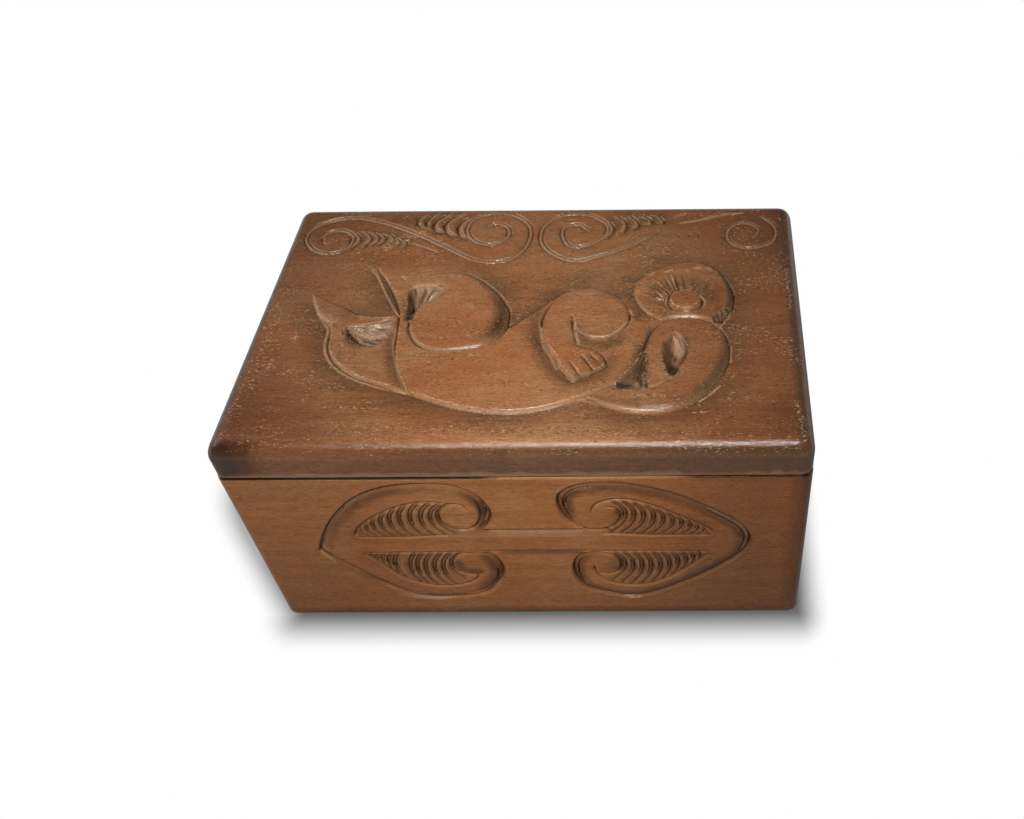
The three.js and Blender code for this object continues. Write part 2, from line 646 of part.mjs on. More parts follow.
Object.entries(hingeSides).forEach(([sideName, side]) => {
  const centreX = side * hingeCentreX;
  addPiece(`hinge_${sideName}_body_leaf`, hingeLeaf(-1, centreX), brass);
  addPiece(`hinge_${sideName}_lid_leaf`, hingeLeaf(1, centreX), brass);
  addPiece(`hinge_${sideName}_pin`,
    rodAlongX(pinRadius, centreX - hingeLength / 2, centreX + hingeLength / 2, axisY, axisZ, 16), steel);
  screwOffsets.forEach((offset, index) => {
    addPiece(`screw_${sideName}_body_${index + 1}`, screw(-1, centreX + offset), brass);
    addPiece(`screw_${sideName}_lid_${index + 1}`, screw(1, centreX + offset), brass);
  });
});

export default group;
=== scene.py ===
import math

import bpy
import numpy as np
from mathutils import Matrix, Vector


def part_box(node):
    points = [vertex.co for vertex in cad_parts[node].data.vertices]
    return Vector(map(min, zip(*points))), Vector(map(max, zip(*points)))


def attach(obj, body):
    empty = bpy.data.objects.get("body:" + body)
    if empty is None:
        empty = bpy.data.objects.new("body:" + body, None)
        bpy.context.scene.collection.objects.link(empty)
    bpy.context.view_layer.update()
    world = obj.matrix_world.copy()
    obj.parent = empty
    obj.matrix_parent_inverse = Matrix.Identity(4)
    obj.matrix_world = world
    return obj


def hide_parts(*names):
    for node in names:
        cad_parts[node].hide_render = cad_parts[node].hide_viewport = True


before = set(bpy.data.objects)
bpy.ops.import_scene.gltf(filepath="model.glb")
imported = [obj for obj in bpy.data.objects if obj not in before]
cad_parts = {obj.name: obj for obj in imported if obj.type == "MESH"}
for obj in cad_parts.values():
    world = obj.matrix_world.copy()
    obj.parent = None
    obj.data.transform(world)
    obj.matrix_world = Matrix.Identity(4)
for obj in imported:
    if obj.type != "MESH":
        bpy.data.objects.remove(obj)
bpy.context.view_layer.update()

# The lid: one slab of stained wood with rounded upper edges. The scrolls along its back and the
# bird-headed figure are cut down into its top with a parting tool, gouges and a flat chisel.
# Two mortises under its back edge take the hinge leaves.
MM = 0.001


def box_of(node):
    """The two corners of a CAD node's box, in millimetres."""
    return [np.array(corner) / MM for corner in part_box(node)]


lid_low, lid_high = box_of("lid_board")
box_width, box_depth = lid_high[0] - lid_low[0], lid_high[1] - lid_low[1]
lid_bottom, lid_top = lid_low[2], lid_high[2]
lid_edge_radius = 6.6
lid_arris = 0.8
corner_squareness = 3.0
relief_spacing = 0.3
relief_triangles = 190000
span_points = 24
steps_at_once = 12
stroke_taper = 0.7
draws = np.random.default_rng(11)

# A wall of a cut falls straight, or bellies out like a worn edge
STRAIGHT, ROUNDED = (1, 1), (1, 2)


def curve_through(points, loop=False, step=0.4):
    """A smooth path through given points, in even steps."""
    p = np.array(points, float)
    p = np.vstack([p[-1], p, p[:2]]) if loop else np.vstack([2 * p[0] - p[1], p, 2 * p[-1] - p[-2]])
    pieces = []
    for a, b, c, d in zip(p, p[1:], p[2:], p[3:]):
        t1 = math.sqrt(np.linalg.norm(b - a))
        t2 = t1 + math.sqrt(np.linalg.norm(c - b))
        t3 = t2 + math.sqrt(np.linalg.norm(d - c))
        t = np.linspace(t1, t2, span_points, endpoint=False)[:, None]
        ab = ((t1 - t) * a + t * b) / t1
        bc = ((t2 - t) * b + (t - t1) * c) / (t2 - t1)
        cd = ((t3 - t) * c + (t - t2) * d) / (t3 - t2)
        abc = ((t2 - t) * ab + t * bc) / t2
        bcd = ((t3 - t) * bc + (t - t1) * cd) / (t3 - t1)
        pieces.append(((t2 - t) * abc + (t - t1) * bcd) / (t2 - t1))
    path = np.vstack(pieces + [p[-2]])
    run = np.concatenate([[0], np.cumsum(np.linalg.norm(np.diff(path, axis=0), axis=1))])
    places = np.linspace(0, run[-1], max(2, int(run[-1] / step)) + 1)
    return np.column_stack([np.interp(places, run, path[:, k]) for k in (0, 1)])


def blurred(field, across, along):
    """The field smoothed by so many millimetres across the grain (v) and along it (u)."""
    rows, columns = field.shape
    pad = int(3 * max(across, along) / relief_spacing) + 1
    padded = np.pad(field, pad, mode="edge")
    fv = np.fft.fftfreq(padded.shape[0], relief_spacing)[:, None]
    fu = np.fft.fftfreq(padded.shape[1], relief_spacing)[None, :]
    soft = np.exp(-2 * math.pi ** 2 * ((fv * across) ** 2 + (fu * along) ** 2))
    return np.fft.ifft2(np.fft.fft2(padded) * soft).real[pad:pad + rows, pad:pad + columns]


def rise(values, start, run):
    """From 0 at the start to 1 a run further on. A negative run goes down the other way."""
    return np.clip((values - start) / run, 0, 1)


class CarvedFace:
    """A flat face of wood with a depth cut into it at each place (u, v), in millimetres."""

    def __init__(self, u_span, v_span, margin):
        lines = []
        for low, high in (u_span, v_span):
            count = round((high - low) / relief_spacing)
            spacing = (high - low) / count
            spare = int(margin / spacing)
            lines.append(low + spacing * np.arange(-spare, count + spare + 1))
        self.u, self.v = lines
        self.depth, self.bruised, self.dirt_and_shade, self.pale, self.worn = np.zeros((5, len(self.v), len(self.u)))

    def noise(self, across, along):
        rough = blurred(draws.standard_normal(self.depth.shape), across, along)
        return rough / rough.std()

    def planed(self):
        """The low waves that a hand plane leaves."""
        return 0.05 * np.clip(self.noise(9, 25) + 2.2, 0, 4)

    def window(self, low, high):
        u0, u1 = np.searchsorted(self.u, (low[0], high[0]))
        v0, v1 = np.searchsorted(self.v, (low[1], high[1]))
        return slice(v0, v1), slice(u0, u1)

    def beside(self, points, reach, loop=False, shift=0):
        """For each place: its distance from a path, its side, how far along it lies, and the path's marks."""
        path = curve_through(points, loop)
        way = np.gradient(path, axis=0)
        way /= np.linalg.norm(way, axis=1)[:, None]
        path = path + shift * np.column_stack([-way[:, 1], way[:, 0]])
        run = np.concatenate([[0], np.cumsum(np.linalg.norm(np.diff(path, axis=0), axis=1))])
        marks = [0]  # a path may pass a point twice, so the stretch that comes sooner is preferred
        for point in points[1:]:
            ahead = run > marks[-1] + 0.1
            away = np.linalg.norm(path[ahead] - point, axis=1) + 0.02 * (run[ahead] - marks[-1])
            marks.append(run[ahead][away.argmin()])
        nearest = np.full(self.depth.shape, np.inf)
        offset, place = np.zeros((2, *nearest.shape))
        for first in range(0, len(path) - 1, steps_at_once):
            part = path[first:first + steps_at_once + 1]
            a, b = part[:-1], part[1:]
            area = self.window(part.min(0) - reach, part.max(0) + reach)
            u, v = np.meshgrid(self.u[area[1]], self.v[area[0]])
            span = b - a
            du, dv = u[None] - a[:, 0, None, None], v[None] - a[:, 1, None, None]
            su, sv = span[:, 0, None, None], span[:, 1, None, None]
            t = np.clip((du * su + dv * sv) / (su ** 2 + sv ** 2), 0, 1)
            distance = np.hypot(du - t * su, dv - t * sv)
            best = distance.argmin(axis=0)[None]
            picked = [np.take_along_axis(each, best, 0)[0] for each in (distance, su * dv - sv * du, t)]
            closer = picked[0] < nearest[area]
            lengths = run[first + best[0]] + picked[2] * np.hypot(su, sv)[best[0], 0, 0]
            nearest[area] = np.where(closer, picked[0], nearest[area])
            offset[area] = np.where(closer, picked[1], offset[area])
            place[area] = np.where(closer, lengths, place[area])
        return nearest, offset, place, marks, run[-1]

    def cut(self, points, left, right, depth, fade=(0, 0), shift=0, loop=False):
        """A stroke of the tool: its walls' widths and forms, seen along the stroke, and its depth.
        A width or depth is one number, or one for each point."""
        reach = max(np.max(left[0]), np.max(right[0]))
        nearest, offset, place, marks, length = self.beside(points, reach, loop, shift)
        size = np.ones_like(nearest)
        if fade[0]:
            size = np.minimum(size, place / fade[0])
        if fade[1]:
            size = np.minimum(size, (length - place) / fade[1])
        size = np.clip(size, 0, 1) ** stroke_taper
        values = [np.interp(place, marks, each) if np.ndim(each) else each for each in (left[0], right[0], depth)]
        for width, (a, b), side in ((values[0], left[1], offset >= 0), (values[1], right[1], offset < 0)):
            share = np.clip(nearest / np.maximum(width * size, 1e-6), 0, 1)
            wall = values[2] * size * (1 - share ** a) ** b
            self.depth = np.where(side, np.maximum(self.depth, wall), self.depth)

    def groove(self, points, width, depth, fade=(0, 0)):
        """A thin cut, alike on both sides."""
        self.cut(points, (width, STRAIGHT), (width, STRAIGHT), depth, fade)

    def inside(self, points):
        """Which places lie within a closed path."""
        path = curve_through(points, True)
        mask = np.zeros(self.depth.shape, bool)
        for (u0, v0), (u1, v1) in zip(path, path[1:]):
            rows = np.flatnonzero((self.v >= min(v0, v1)) & (self.v < max(v0, v1)))
            if len(rows):
                mask[rows] ^= self.u[None, :] > (u0 + (self.v[rows] - v0) * (u1 - u0) / (v1 - v0))[:, None]
        return mask

    def lower_ground(self, points, strength, reach, depth):
        """Dishes the ground all round a closed figure, and darkens the dish with soiling and painted shade."""
        nearest, _, place, marks, length = self.beside(points, reach, True)
        ground = ~self.inside(points)
        share = 1 - np.clip(nearest * (1 + 0.12 * self.noise(4, 4)) / reach, 0, 1)
        amount = np.interp(place, marks + [length], strength + strength[:1]) * ground
        self.depth = np.maximum(self.depth, depth * amount * share ** 2.2)
        broken = 0.8 + 0.15 * self.noise(0.5, 4) + 0.15 * self.noise(3, 6)
        self.dirt_and_shade = np.maximum(self.dirt_and_shade, amount * share ** 0.9 * np.clip(broken, 0, 1.1))

    def mark(self, field, points, reach, amount, shift=0):
        """Wears, dirties, or paints highlight or shade on a band of the wood along a path. amount may be one number
        for each point.
        """
        nearest, _, place, marks, _ = self.beside(points, reach, shift=shift)
        amount = np.interp(place, marks, amount) if np.ndim(amount) else amount
        np.maximum(field, amount * (1 - np.clip(nearest / reach, 0, 1)) ** stroke_taper, out=field)

    def mark_all(self, field, rows, strength=1):
        """The same for many paths, each with its reach, its amount and perhaps its shift."""
        for points, reach, amount, *shift in rows:
            self.mark(field, points, reach, strength * np.array(amount), *shift)

    def fan(self, u, v, centre, spacing):
        """Fine ridges that spread from a centre, as a gouge leaves them."""
        spokes, rings = 400, 40
        lattice = draws.standard_normal((spokes, rings))
        turn = (np.arctan2(v - centre[1], u - centre[0]) + math.pi) * 8 / spacing
        away = np.hypot(u - centre[0], v - centre[1]) / 3.5 + np.sin(turn * 0.7)
        away = np.clip(away, 0, rings - 1.1)
        i, j = turn.astype(int) % (spokes - 1), away.astype(int)
        ti, tj = turn % 1, away % 1
        ti, tj = ti * ti * (3 - 2 * ti), tj * tj * (3 - 2 * tj)
        return ((lattice[i, j] * (1 - tj) + lattice[i, j + 1] * tj) * (1 - ti)
                + (lattice[i + 1, j] * (1 - tj) + lattice[i + 1, j + 1] * tj) * ti)

    def hollow(self, points, low, depth, centre, shade=(-1, 0), bowl=1.3, rough=0.3, bruise=1):
        """A pocket whose floor falls from a rim to one low point, left rough from the gouge. Its wall on the shade
        side and the furrows of its gouge marks get painted shade, and its floor towards the other side a painted
        highlight."""
        rim = curve_through(points, True)
        area = self.window(rim.min(0) - 1, rim.max(0) + 1)
        u, v = np.meshgrid(self.u[area[1]], self.v[area[0]])
        rim_angle = np.arctan2(rim[:, 1] - low[1], rim[:, 0] - low[0])
        order = rim_angle.argsort()
        rim_distance = np.hypot(rim[:, 0] - low[0], rim[:, 1] - low[1])[order]
        turned = np.concatenate([rim_angle[order] - 2 * math.pi, rim_angle[order], rim_angle[order] + 2 * math.pi])
        share = (np.hypot(u - low[0], v - low[1])
                 / np.interp(np.arctan2(v - low[1], u - low[0]), turned, np.tile(rim_distance, 3)))
        fall = depth * np.clip(1 - share ** bowl, 0, 1)
        marks = self.fan(u, v, centre, 0.9) + 0.5 * self.fan(u, v, centre, 0.45)
        within = np.clip((1 - share) * 5, 0, 1)
        fall = fall + rough * marks * within
        self.depth[area] = np.maximum(self.depth[area], fall)
        # Painted highlight on the floor away from the shade side, and painted shade on the shade side's wall and in
        # the marks' furrows
        lit_side = np.clip(0.5 - ((u - low[0]) * shade[0] + (v - low[1]) * shade[1]) / 1.2, 0, 1)
        lit_floor = within * lit_side * np.clip(0.75 - 0.7 * marks, 0, 1)
        self.bruised[area] = np.maximum(self.bruised[area], bruise * lit_floor)
        dark = within * np.maximum(1.3 * (1 - lit_side), np.clip(1.6 * marks - 0.35, 0, 1.2))
        self.dirt_and_shade[area] = np.maximum(self.dirt_and_shade[area], dark)

    def read(self, field, u, v):
        """The field's value at each (u, v), between its grid's lines."""
        i = np.clip(np.interp(v, self.v, np.arange(len(self.v))), 0, len(self.v) - 1.001)
        j = np.clip(np.interp(u, self.u, np.arange(len(self.u))), 0, len(self.u) - 1.001)
        i0, j0 = i.astype(int), j.astype(int)
        fi, fj = i - i0, j - j0
        low = field[i0, j0] * (1 - fj) + field[i0, j0 + 1] * fj
        high = field[i0 + 1, j0] * (1 - fj) + field[i0 + 1, j0 + 1] * fj
        return low * (1 - fi) + high * fi


flat_x = box_width / 2 - lid_edge_radius
flat_y = box_depth / 2 - lid_edge_radius
lid_face = CarvedFace((-flat_x, flat_x), (-flat_y, flat_y), 6)
carve, groove = lid_face.cut, lid_face.groove

# Scrolls: a worn ridge between two thin grooves


def scroll(points, fade, depth=0.65, gap=0.85):
    carve(points, (0.35, STRAIGHT), (0.8, ROUNDED), depth, fade, shift=gap)
    carve(points, (0.8, ROUNDED), (0.35, STRAIGHT), depth, fade, shift=-gap)
    lid_face.mark(lid_face.pale, points, 0.6, 0.75)
    lid_face.mark(lid_face.dirt_and_shade, points, 3.2, 0.45)


scroll([(-86.3, 44.7), (-84, 48.5), (-79, 49.1), (-74.4, 45.6), (-74.6, 39.4), (-80.7, 34.9), (-88, 37.2),
        (-92.6, 44.4), (-91, 51), (-85, 55.6), (-76, 57.1), (-64, 54), (-48, 45.7), (-34, 36.4), (-24, 30),
        (-15, 28.9), (-8.3, 32.5), (-4.2, 41.5), (-5, 51.3), (-10.7, 57.6), (-19, 59.8), (-27, 57), (-29.5, 49.3),
        (-26, 42.3), (-19.3, 39.7), (-13, 44), (-14, 51), (-19, 53), (-22, 50.4)], (3, 3))
scroll([(44, 44.4), (35, 37.8), (25, 32.6), (15, 29.2), (7, 32.6), (1, 40), (0.4, 49), (4.4, 56), (11, 58.9),
        (19, 57.8), (25.4, 52.4), (26, 45.8), (20, 39.4), (13, 37.9), (9.2, 43), (9, 50), (14.6, 52.1), (19.4, 47)],
       (8, 3))
scroll([(84.8, 44), (86, 47.5), (83.2, 51), (79, 51.8), (74.4, 48), (73.6, 42.6), (76, 38.4), (80, 36.2),
        (86, 36.8), (91, 40), (92.8, 46), (91.8, 51), (87.4, 56.2)], (3, 3), 0.45)
groove([(80.4, 58), (75.6, 57.8), (70, 55.6), (64, 53.8), (57.6, 52.6), (53.2, 51.2)], 0.5, 0.45, (3, 4))
lid_face.mark(lid_face.pale, [(80, 58.6), (71.6, 57.4), (64, 54.4), (55, 52)], 0.5, 1.1)
carve([(51, 55), (54.7, 57), (60, 59)], (1.1, STRAIGHT), (0.6, STRAIGHT), 0.9, (3, 4))

# Chips beside the scrolls, each a curved stroke of a gouge: steep on its outer side, sloped on its inner side


def chip(points, steep_left, slope=1.6, depth=0.8):
    steep, sloped = (0.35, STRAIGHT), (slope, ROUNDED)
    left, right = (steep, sloped) if steep_left else (sloped, steep)
    carve(points, left, right, depth, (2.5, 2.5))
    side = -1 if steep_left else 1
    lid_face.mark(lid_face.pale, points, 0.7, 0.9, side * (slope * 0.5 + 0.35))
    lid_face.mark(lid_face.dirt_and_shade, points, 1.1, 1.15, -0.35 * side)


for points in (((-74.5, 48.5), (-71.2, 45.2), (-70.8, 42), (-73.5, 37.5)),
               ((-70, 49), (-67.3, 46), (-66.5, 43), (-68.5, 38.8)),
               ((-66.5, 48), (-64, 45.5), (-63.5, 42.5), (-65.5, 39.3)),
               ((-63.5, 47.5), (-61.3, 45.3), (-61.1, 42.5), (-63, 39.4)),
               ((-60.3, 46.7), (-57.8, 45), (-57.2, 42.5), (-59.2, 40.4)),
               ((-57, 44.6), (-54.8, 42.2), (-55.6, 38.6)),
               ((-54, 43.2), (-51.8, 41), (-52.6, 38))):
    chip(points, True, 1.2)
for points, slope in ((((-29.5, 57.5), (-32.2, 55.4), (-33.8, 51), (-33, 47), (-28.8, 42)), 2.8),
                      (((-33.6, 60), (-37, 57), (-39.2, 52.5), (-38, 48), (-34, 44.2)), 2.4),
                      (((-38.4, 60), (-42, 57), (-43.8, 53), (-42.5, 49), (-39, 46.4)), 2.6),
                      (((-44, 59.6), (-46, 57), (-47, 54), (-46, 50.8)), 1.8),
                      (((-48.6, 59), (-50.4, 56), (-50.4, 53.4), (-48.4, 50.2)), 1.6)):
    chip(points, False, slope, 1.0)
for points in (((27, 54), (28.9, 50), (28.4, 46), (26.6, 43.2)), ((29.6, 58), (33.2, 54.5), (34, 50), (33, 45.8)),
               ((35, 58), (38.2, 54), (38.8, 50.4), (36.8, 48)), ((40.4, 58), (43.8, 54.6), (44, 51)),
               ((46.4, 57.6), (48.8, 54), (48.4, 51))):
    chip(points, True, 2)
lid_face.mark_all(lid_face.dirt_and_shade, (
    ([(29, 56), (36, 56), (46, 56)], 5.5, 0.75), ([(-58, 57), (-48, 54), (-40, 51)], 5.5, 0.5),
    ([(-72, 44), (-62, 43), (-53, 41)], 4.5, 0.5)))
for points, width in ((((-50.4, 40.6), (-45, 38), (-38.6, 34.4)), 0.5),
                      (((-86, 46.4), (-85.8, 42), (-83, 40.2)), 0.4),
                      (((54.8, 45.2), (54.4, 42.8)), 0.5), (((58.6, 45.6), (58.8, 42.8)), 0.5),
                      (((62, 46.2), (62.7, 43)), 0.6), (((64, 48.4), (64.6, 46.8)), 0.5),
                      (((71.6, 45), (72.2, 41.4)), 0.5),
                      (((-66.4, -7.4), (-65.2, -12)), 0.4)):
    groove(points, width, 0.6, (1.2, 1.2))

# The ground is dished all round the figure, but not where its neck and back run out into the lid
outline = [(-81.8, 10.5, 0.2), (-79.3, 4.5, 0.8), (-77, 0, 1), (-74.3, -3.4, 1), (-71.9, -6.5, 1), (-70.8, -11, 1),
           (-70.2, -16, 1), (-68.6, -20.6, 1), (-65.2, -25.6, 1), (-57.7, -31.8, 1), (-46, -37, 1), (-35, -41.3, 1),
           (-22, -46.5, 1), (-9, -49.3, 1), (2, -49.6, 0.9), (13.3, -47.1, 0.7), (21, -44.3, 0.6),
           (30.7, -46.9, 0.8), (38, -49.3, 1), (46, -50, 1), (55, -47.8, 1), (62, -43.3, 1), (67, -37.3, 1),
           (70.7, -31, 1), (72.7, -24, 1), (72.8, -17, 0.9), (70.4, -9.6, 0.8), (73.6, -1.5, 0.8), (75.2, 6, 1),
           (74.7, 12, 1), (72.5, 18.5, 1), (69, 23.7, 0.9), (63, 27.7, 0.8), (57, 28.4, 0.8), (50, 26, 0.8),
           (43, 21.4, 0.8), (39, 17.6, 1), (37.8, 13, 1), (38.3, 8, 1), (41, 2, 0.9), (44.8, -3, 0.5),
           (43, -6, 0.2), (39.5, -4, 0.3), (37.5, 0, 0.8), (35.7, 4, 1), (33, 7.8, 1), (28, 11.8, 1), (22, 14.2, 1),
           (16, 13.5, 1), (11, 10.2, 1), (7.6, 6.4, 1), (3, 1.9, 1), (-3, -4.7, 1), (-6.6, -8.2, 1), (-6.8, -3, 1),
           (-7.6, 3, 1), (-11, 9, 1), (-14.5, 13.6, 1), (-19, 18.3, 1), (-24, 21.7, 0.8), (-30, 23.3, 0.4),
           (-39.7, 22, 0), (-50, 25, 0), (-58, 27.5, 0), (-62.8, 26.4, 0.2), (-59, 19.3, 0.8), (-54.6, 10.4, 1),
           (-50.6, 3, 1), (-48, -0.4, 1), (-52, -1.5, 1), (-58, -1.2, 1), (-62, -0.4, 0.9), (-66.5, 2, 0.6),
           (-74, 6, 0.3)]
figure_edge = [(u, v) for u, v, _ in outline]
lid_face.lower_ground(figure_edge, [strength for _, _, strength in outline], 12, 1.0)

# Head: beak, mouth line, the two rough hollows behind it and the disc
carve([(-60.6, 25.6), (-56.2, 19), (-51.4, 10.4), (-47.2, 0.4)], (0.5, STRAIGHT), ([0.8, 2, 3.8, 2.6], ROUNDED),
      [0.3, 1.1, 1.9, 1.7], (3, 0))
groove([(-51, 20.6), (-48.2, 17.8)], 0.4, 0.5, (1, 1))
carve([(-68, 2.6), (-62, -0.6), (-57, -1.5), (-52, -1.6), (-47.6, -0.4)], (0.8, STRAIGHT), (0.4, STRAIGHT), 1.3,
      (9, 0))
lid_face.hollow([(-46, 13.4), (-42, 15.5), (-35.6, 14.9), (-32.3, 11.4), (-35.6, 7.6), (-39.6, 4), (-42.3, -3.7),
                 (-44, -4.4), (-45, 4)], (-43.2, 5.4), 3.6, (-43, 1), (-1, 0), 1.1, 0.3, 0.8)
lid_face.hollow([(-65.6, -7.2), (-60, -5.6), (-54, -4.2), (-49.7, -2.3), (-47.4, -3), (-47.6, -9), (-49.6, -15.6),
                 (-54, -17.7), (-60, -15.9), (-63.6, -12)], (-60, -12.6), 3.4, (-64, -7), (-0.75, -0.66), 1.1)
carve([(-39.7, 21.8), (-30, 23.2), (-24, 21.6), (-18.8, 18.2), (-14.3, 13.6), (-10.8, 8.9), (-7.4, 2.5), (-6.8, -3),
       (-8, -11.6), (-12, -16), (-18, -18.5), (-28, -19.8), (-35, -18.2), (-39.6, -14.4), (-42.6, -8), (-43, -4.4)],
      ([0.4, 0.4, 0.4, 0.5, 0.5, 0.5, 0.5, 0.5, 0.5, 0.5, 0.5, 0.6, 1, 1.2, 0.9, 0.6], STRAIGHT),
      ([1, 1.4, 2, 3.4, 4.6, 5.6, 6, 6, 5.4, 4.4, 2.8, 1.6, 1.5, 1.4, 1.2, 1], ROUNDED),
      [0.2, 0.7, 1.1, 1.6, 2, 2.5, 2.8, 2.9, 2.7, 2.4, 2, 1.7, 1.4, 1.3, 1.2, 1])

# Body: crest and long lower edge, throat, back line
carve([*figure_edge[:15], (13.3, -47), (24, -42.2), (33, -37)],
      ([0.4, 0.7, 0.9, 1, 1, 1, 1, 1, 1, 1, 1.1, 1.2, 1.4, 1.5, 1.6, 1.6, 1.5, 1.3], STRAIGHT), (0.45, STRAIGHT),
      [0.3, 0.8, 1.1, 1.2, 1.4, 1.5, 1.5, 1.5, 1.5, 1.5, 1.6, 1.8, 2, 2, 1.9, 1.8, 1.8, 1.6])
groove([(-73, -4.4), (-70.2, -5)], 0.5, 0.9, (0, 1))
carve([(-47.2, -1.2), (-46.4, -10), (-45.4, -20), (-43.4, -28), (-38, -39.6)], (0.7, STRAIGHT), (2, ROUNDED), 1.3)
carve([(-7.4, -9), (-3, -4.8), (3, 1.7), (8, 6.6)], (0.7, STRAIGHT), (1.6, ROUNDED), 0.9, (2, 2))

# Shoulder, arm and hand
carve([(5.4, -9), (5.4, -3), (7.6, 5), (11, 10.2), (16, 13.5), (22, 14.2), (28, 11.8), (33, 7.8), (36.2, 2.4),
       (37, -3), (35.2, -9), (30.4, -13), (24, -13.7), (19, -11), (17, -7), (16, -2)],
      (0.5, STRAIGHT), ([1, 2, 3.6, 4, 4.4, 4.6, 4.4, 3.4, 1.8, 1.4, 1.3, 1.3, 1.3, 1.2, 1, 0.8], ROUNDED),
      [1.2, 1, 1, 1, 1, 1, 1, 1.1, 1.2, 1.3, 1.3, 1.3, 1.3, 1.2, 1.1, 0.9])
carve([(16, -2), (16.6, -7), (17.8, -12.5), (19.3, -17.6)], (1, STRAIGHT), (0.9, STRAIGHT), [1.3, 1.4, 1.3, 1.1],
      (2, 1))
carve([(5.4, -9), (6.2, -13), (8.2, -18), (11.2, -23), (12.6, -27), (15.7, -31), (18.8, -34.8)],
      (1.1, STRAIGHT), ([2, 3, 4, 4.6, 5, 5, 4], ROUNDED), [1.2, 1.4, 1.5, 1.6, 1.7, 1.7, 1.5])
carve([(18.8, -34.8), (20.8, -33.8), (21.6, -32.4), (24.2, -31.9), (25.6, -30.4), (28, -29.2), (29.8, -27.2)],
      (0.7, STRAIGHT), (3.4, ROUNDED), 1.2)
carve([(29.8, -27.2), (29.2, -24.6), (27.2, -21.6), (24, -19.4), (19.4, -17.8)], (0.7, STRAIGHT), (4, ROUNDED),
      [1.1, 1.1, 1, 0.9, 0.8])
for points in (((16.3, -24.8), (18.4, -28.2), (20.9, -32.2)), ((20.4, -22), (22.8, -25.6), (25.2, -29.8)),
               ((23.6, -21.6), (25, -23.6), (26.4, -25.2))):
    groove(points, 0.6, 1, (2, 0))

# Tail: upper loop with its bowl and boss, lower loop with the gap and the slit
carve([(49, -5), (45, -2.6), (41.2, 2), (38.5, 8), (38, 13), (39.2, 17.6), (43, 21.4), (50, 26), (57, 28.4),
       (63, 27.6), (69, 23.6), (72.5, 18.4), (74.8, 12), (75.1, 6), (73.6, -1.5), (69.6, -8.6)],
      (0.45, STRAIGHT), ([1, 1.1, 1.2, 1.3, 1.3, 1.3, 1, 1, 1, 1, 1.2, 1.7, 2.2, 2.6, 4, 5], ROUNDED),
      [0.8, 0.9, 1, 1, 1, 0.9, 0.5, 0.4, 0.4, 0.5, 0.9, 1.4, 1.8, 1.9, 2, 2])
lid_face.hollow([(66, -4.6), (70, -6.8), (73.2, -1.8), (74, 2.6), (70.6, 1.4)], (70.4, -4.2), 2, (70, -10), (0, 1),
                1.2, 0.3, 0.1)
boss_u, boss_v = 57, 7
boss = [(boss_u + 6.3 * math.cos(a), boss_v + 6 * math.sin(a)) for a in np.arange(12) * math.pi / 6]
bowl_widths = [5, 7.5, 9.5, 10.5, 10.5, 9, 6, 3.4, 2.2, 1.8, 2.2, 3.2]
carve(boss, (1, STRAIGHT), (bowl_widths, (1, 1.3)), 2.1, loop=True)
u, v = np.meshgrid(lid_face.u, lid_face.v)
away, turn = np.hypot(u - boss_u, v - boss_v), np.degrees(np.arctan2(v - boss_v, u - boss_u))
scored = (rise(away, 6, 2) * rise(away, 17.5, -5)
          * np.where((turn > 100) | (turn < -170), 1, np.where(turn > 30, 0.4, 0.1)))
scores = lid_face.fan(u, v, (boss_u, boss_v - 3), 0.5)
lid_face.depth += 0.3 * scored * scores
# The bowl round the boss is darker, least below the boss, and darker along the gouge's scores
bowl_darkening = (0.9 * rise(away, 5.6, 1.5) * rise(away, 15.5, -5)
             * np.where(turn < -20, 0.2, 1) * np.clip(0.8 + 0.5 * scores, 0.2, 1.3))
lid_face.dirt_and_shade = np.maximum(lid_face.dirt_and_shade, bowl_darkening)
carve([(42.4, -20), (43.4, -15), (45.2, -10), (49, -5.2), (54, -3.1), (60, -3.1), (66, -5.6), (70.4, -10),
       (72.7, -17), (72.7, -24), (70.7, -31), (67, -37.3), (62, -43.3), (55, -47.8), (46, -50), (38, -49.3),
       (30.7, -46.9), (24, -43.2)],
      ([0.5, 0.6, 1, 1.6, 1.4, 1.4, 2, 0.7, 0.5, 0.5, 0.5, 0.5, 0.5, 0.5, 0.5, 0.5, 0.5, 0.5], STRAIGHT),
      ([1.2, 1.4, 1.5, 1.4, 1.3, 1.3, 1.5, 1.7, 2, 2.4, 3, 4, 4, 3.2, 3, 2.8, 2.2, 1.2], ROUNDED),
      [1.2, 1.3, 1.3, 1.2, 1.1, 1.1, 1.3, 1.5, 1.7, 1.9, 2.2, 2.5, 2.6, 2.4, 2.2, 2, 1.7, 1.2])
lid_face.hollow([(42.8, -18.6), (40.6, -25), (36.6, -31.6), (32.4, -37.6), (38, -39.4), (44.4, -38.8), (43.9, -32),
                 (43.4, -24)], (40, -33.6), 4.4, (43, -20), (-0.8, 0.6), 1.15, 0.35, 0.75)
lid_face.hollow([(53.6, -10.6), (50.2, -15), (49.2, -20), (49.8, -27), (52.6, -34), (56.2, -28), (58.5, -21.6),
                 (56.8, -15)], (52.6, -23), 3.6, (53, -5), (-1, 0), 1.6, 0.3, 0.4)
groove([(44.4, -38.9), (48.6, -37.2), (52.8, -33.6)], 0.5, 0.8, (1, 1))
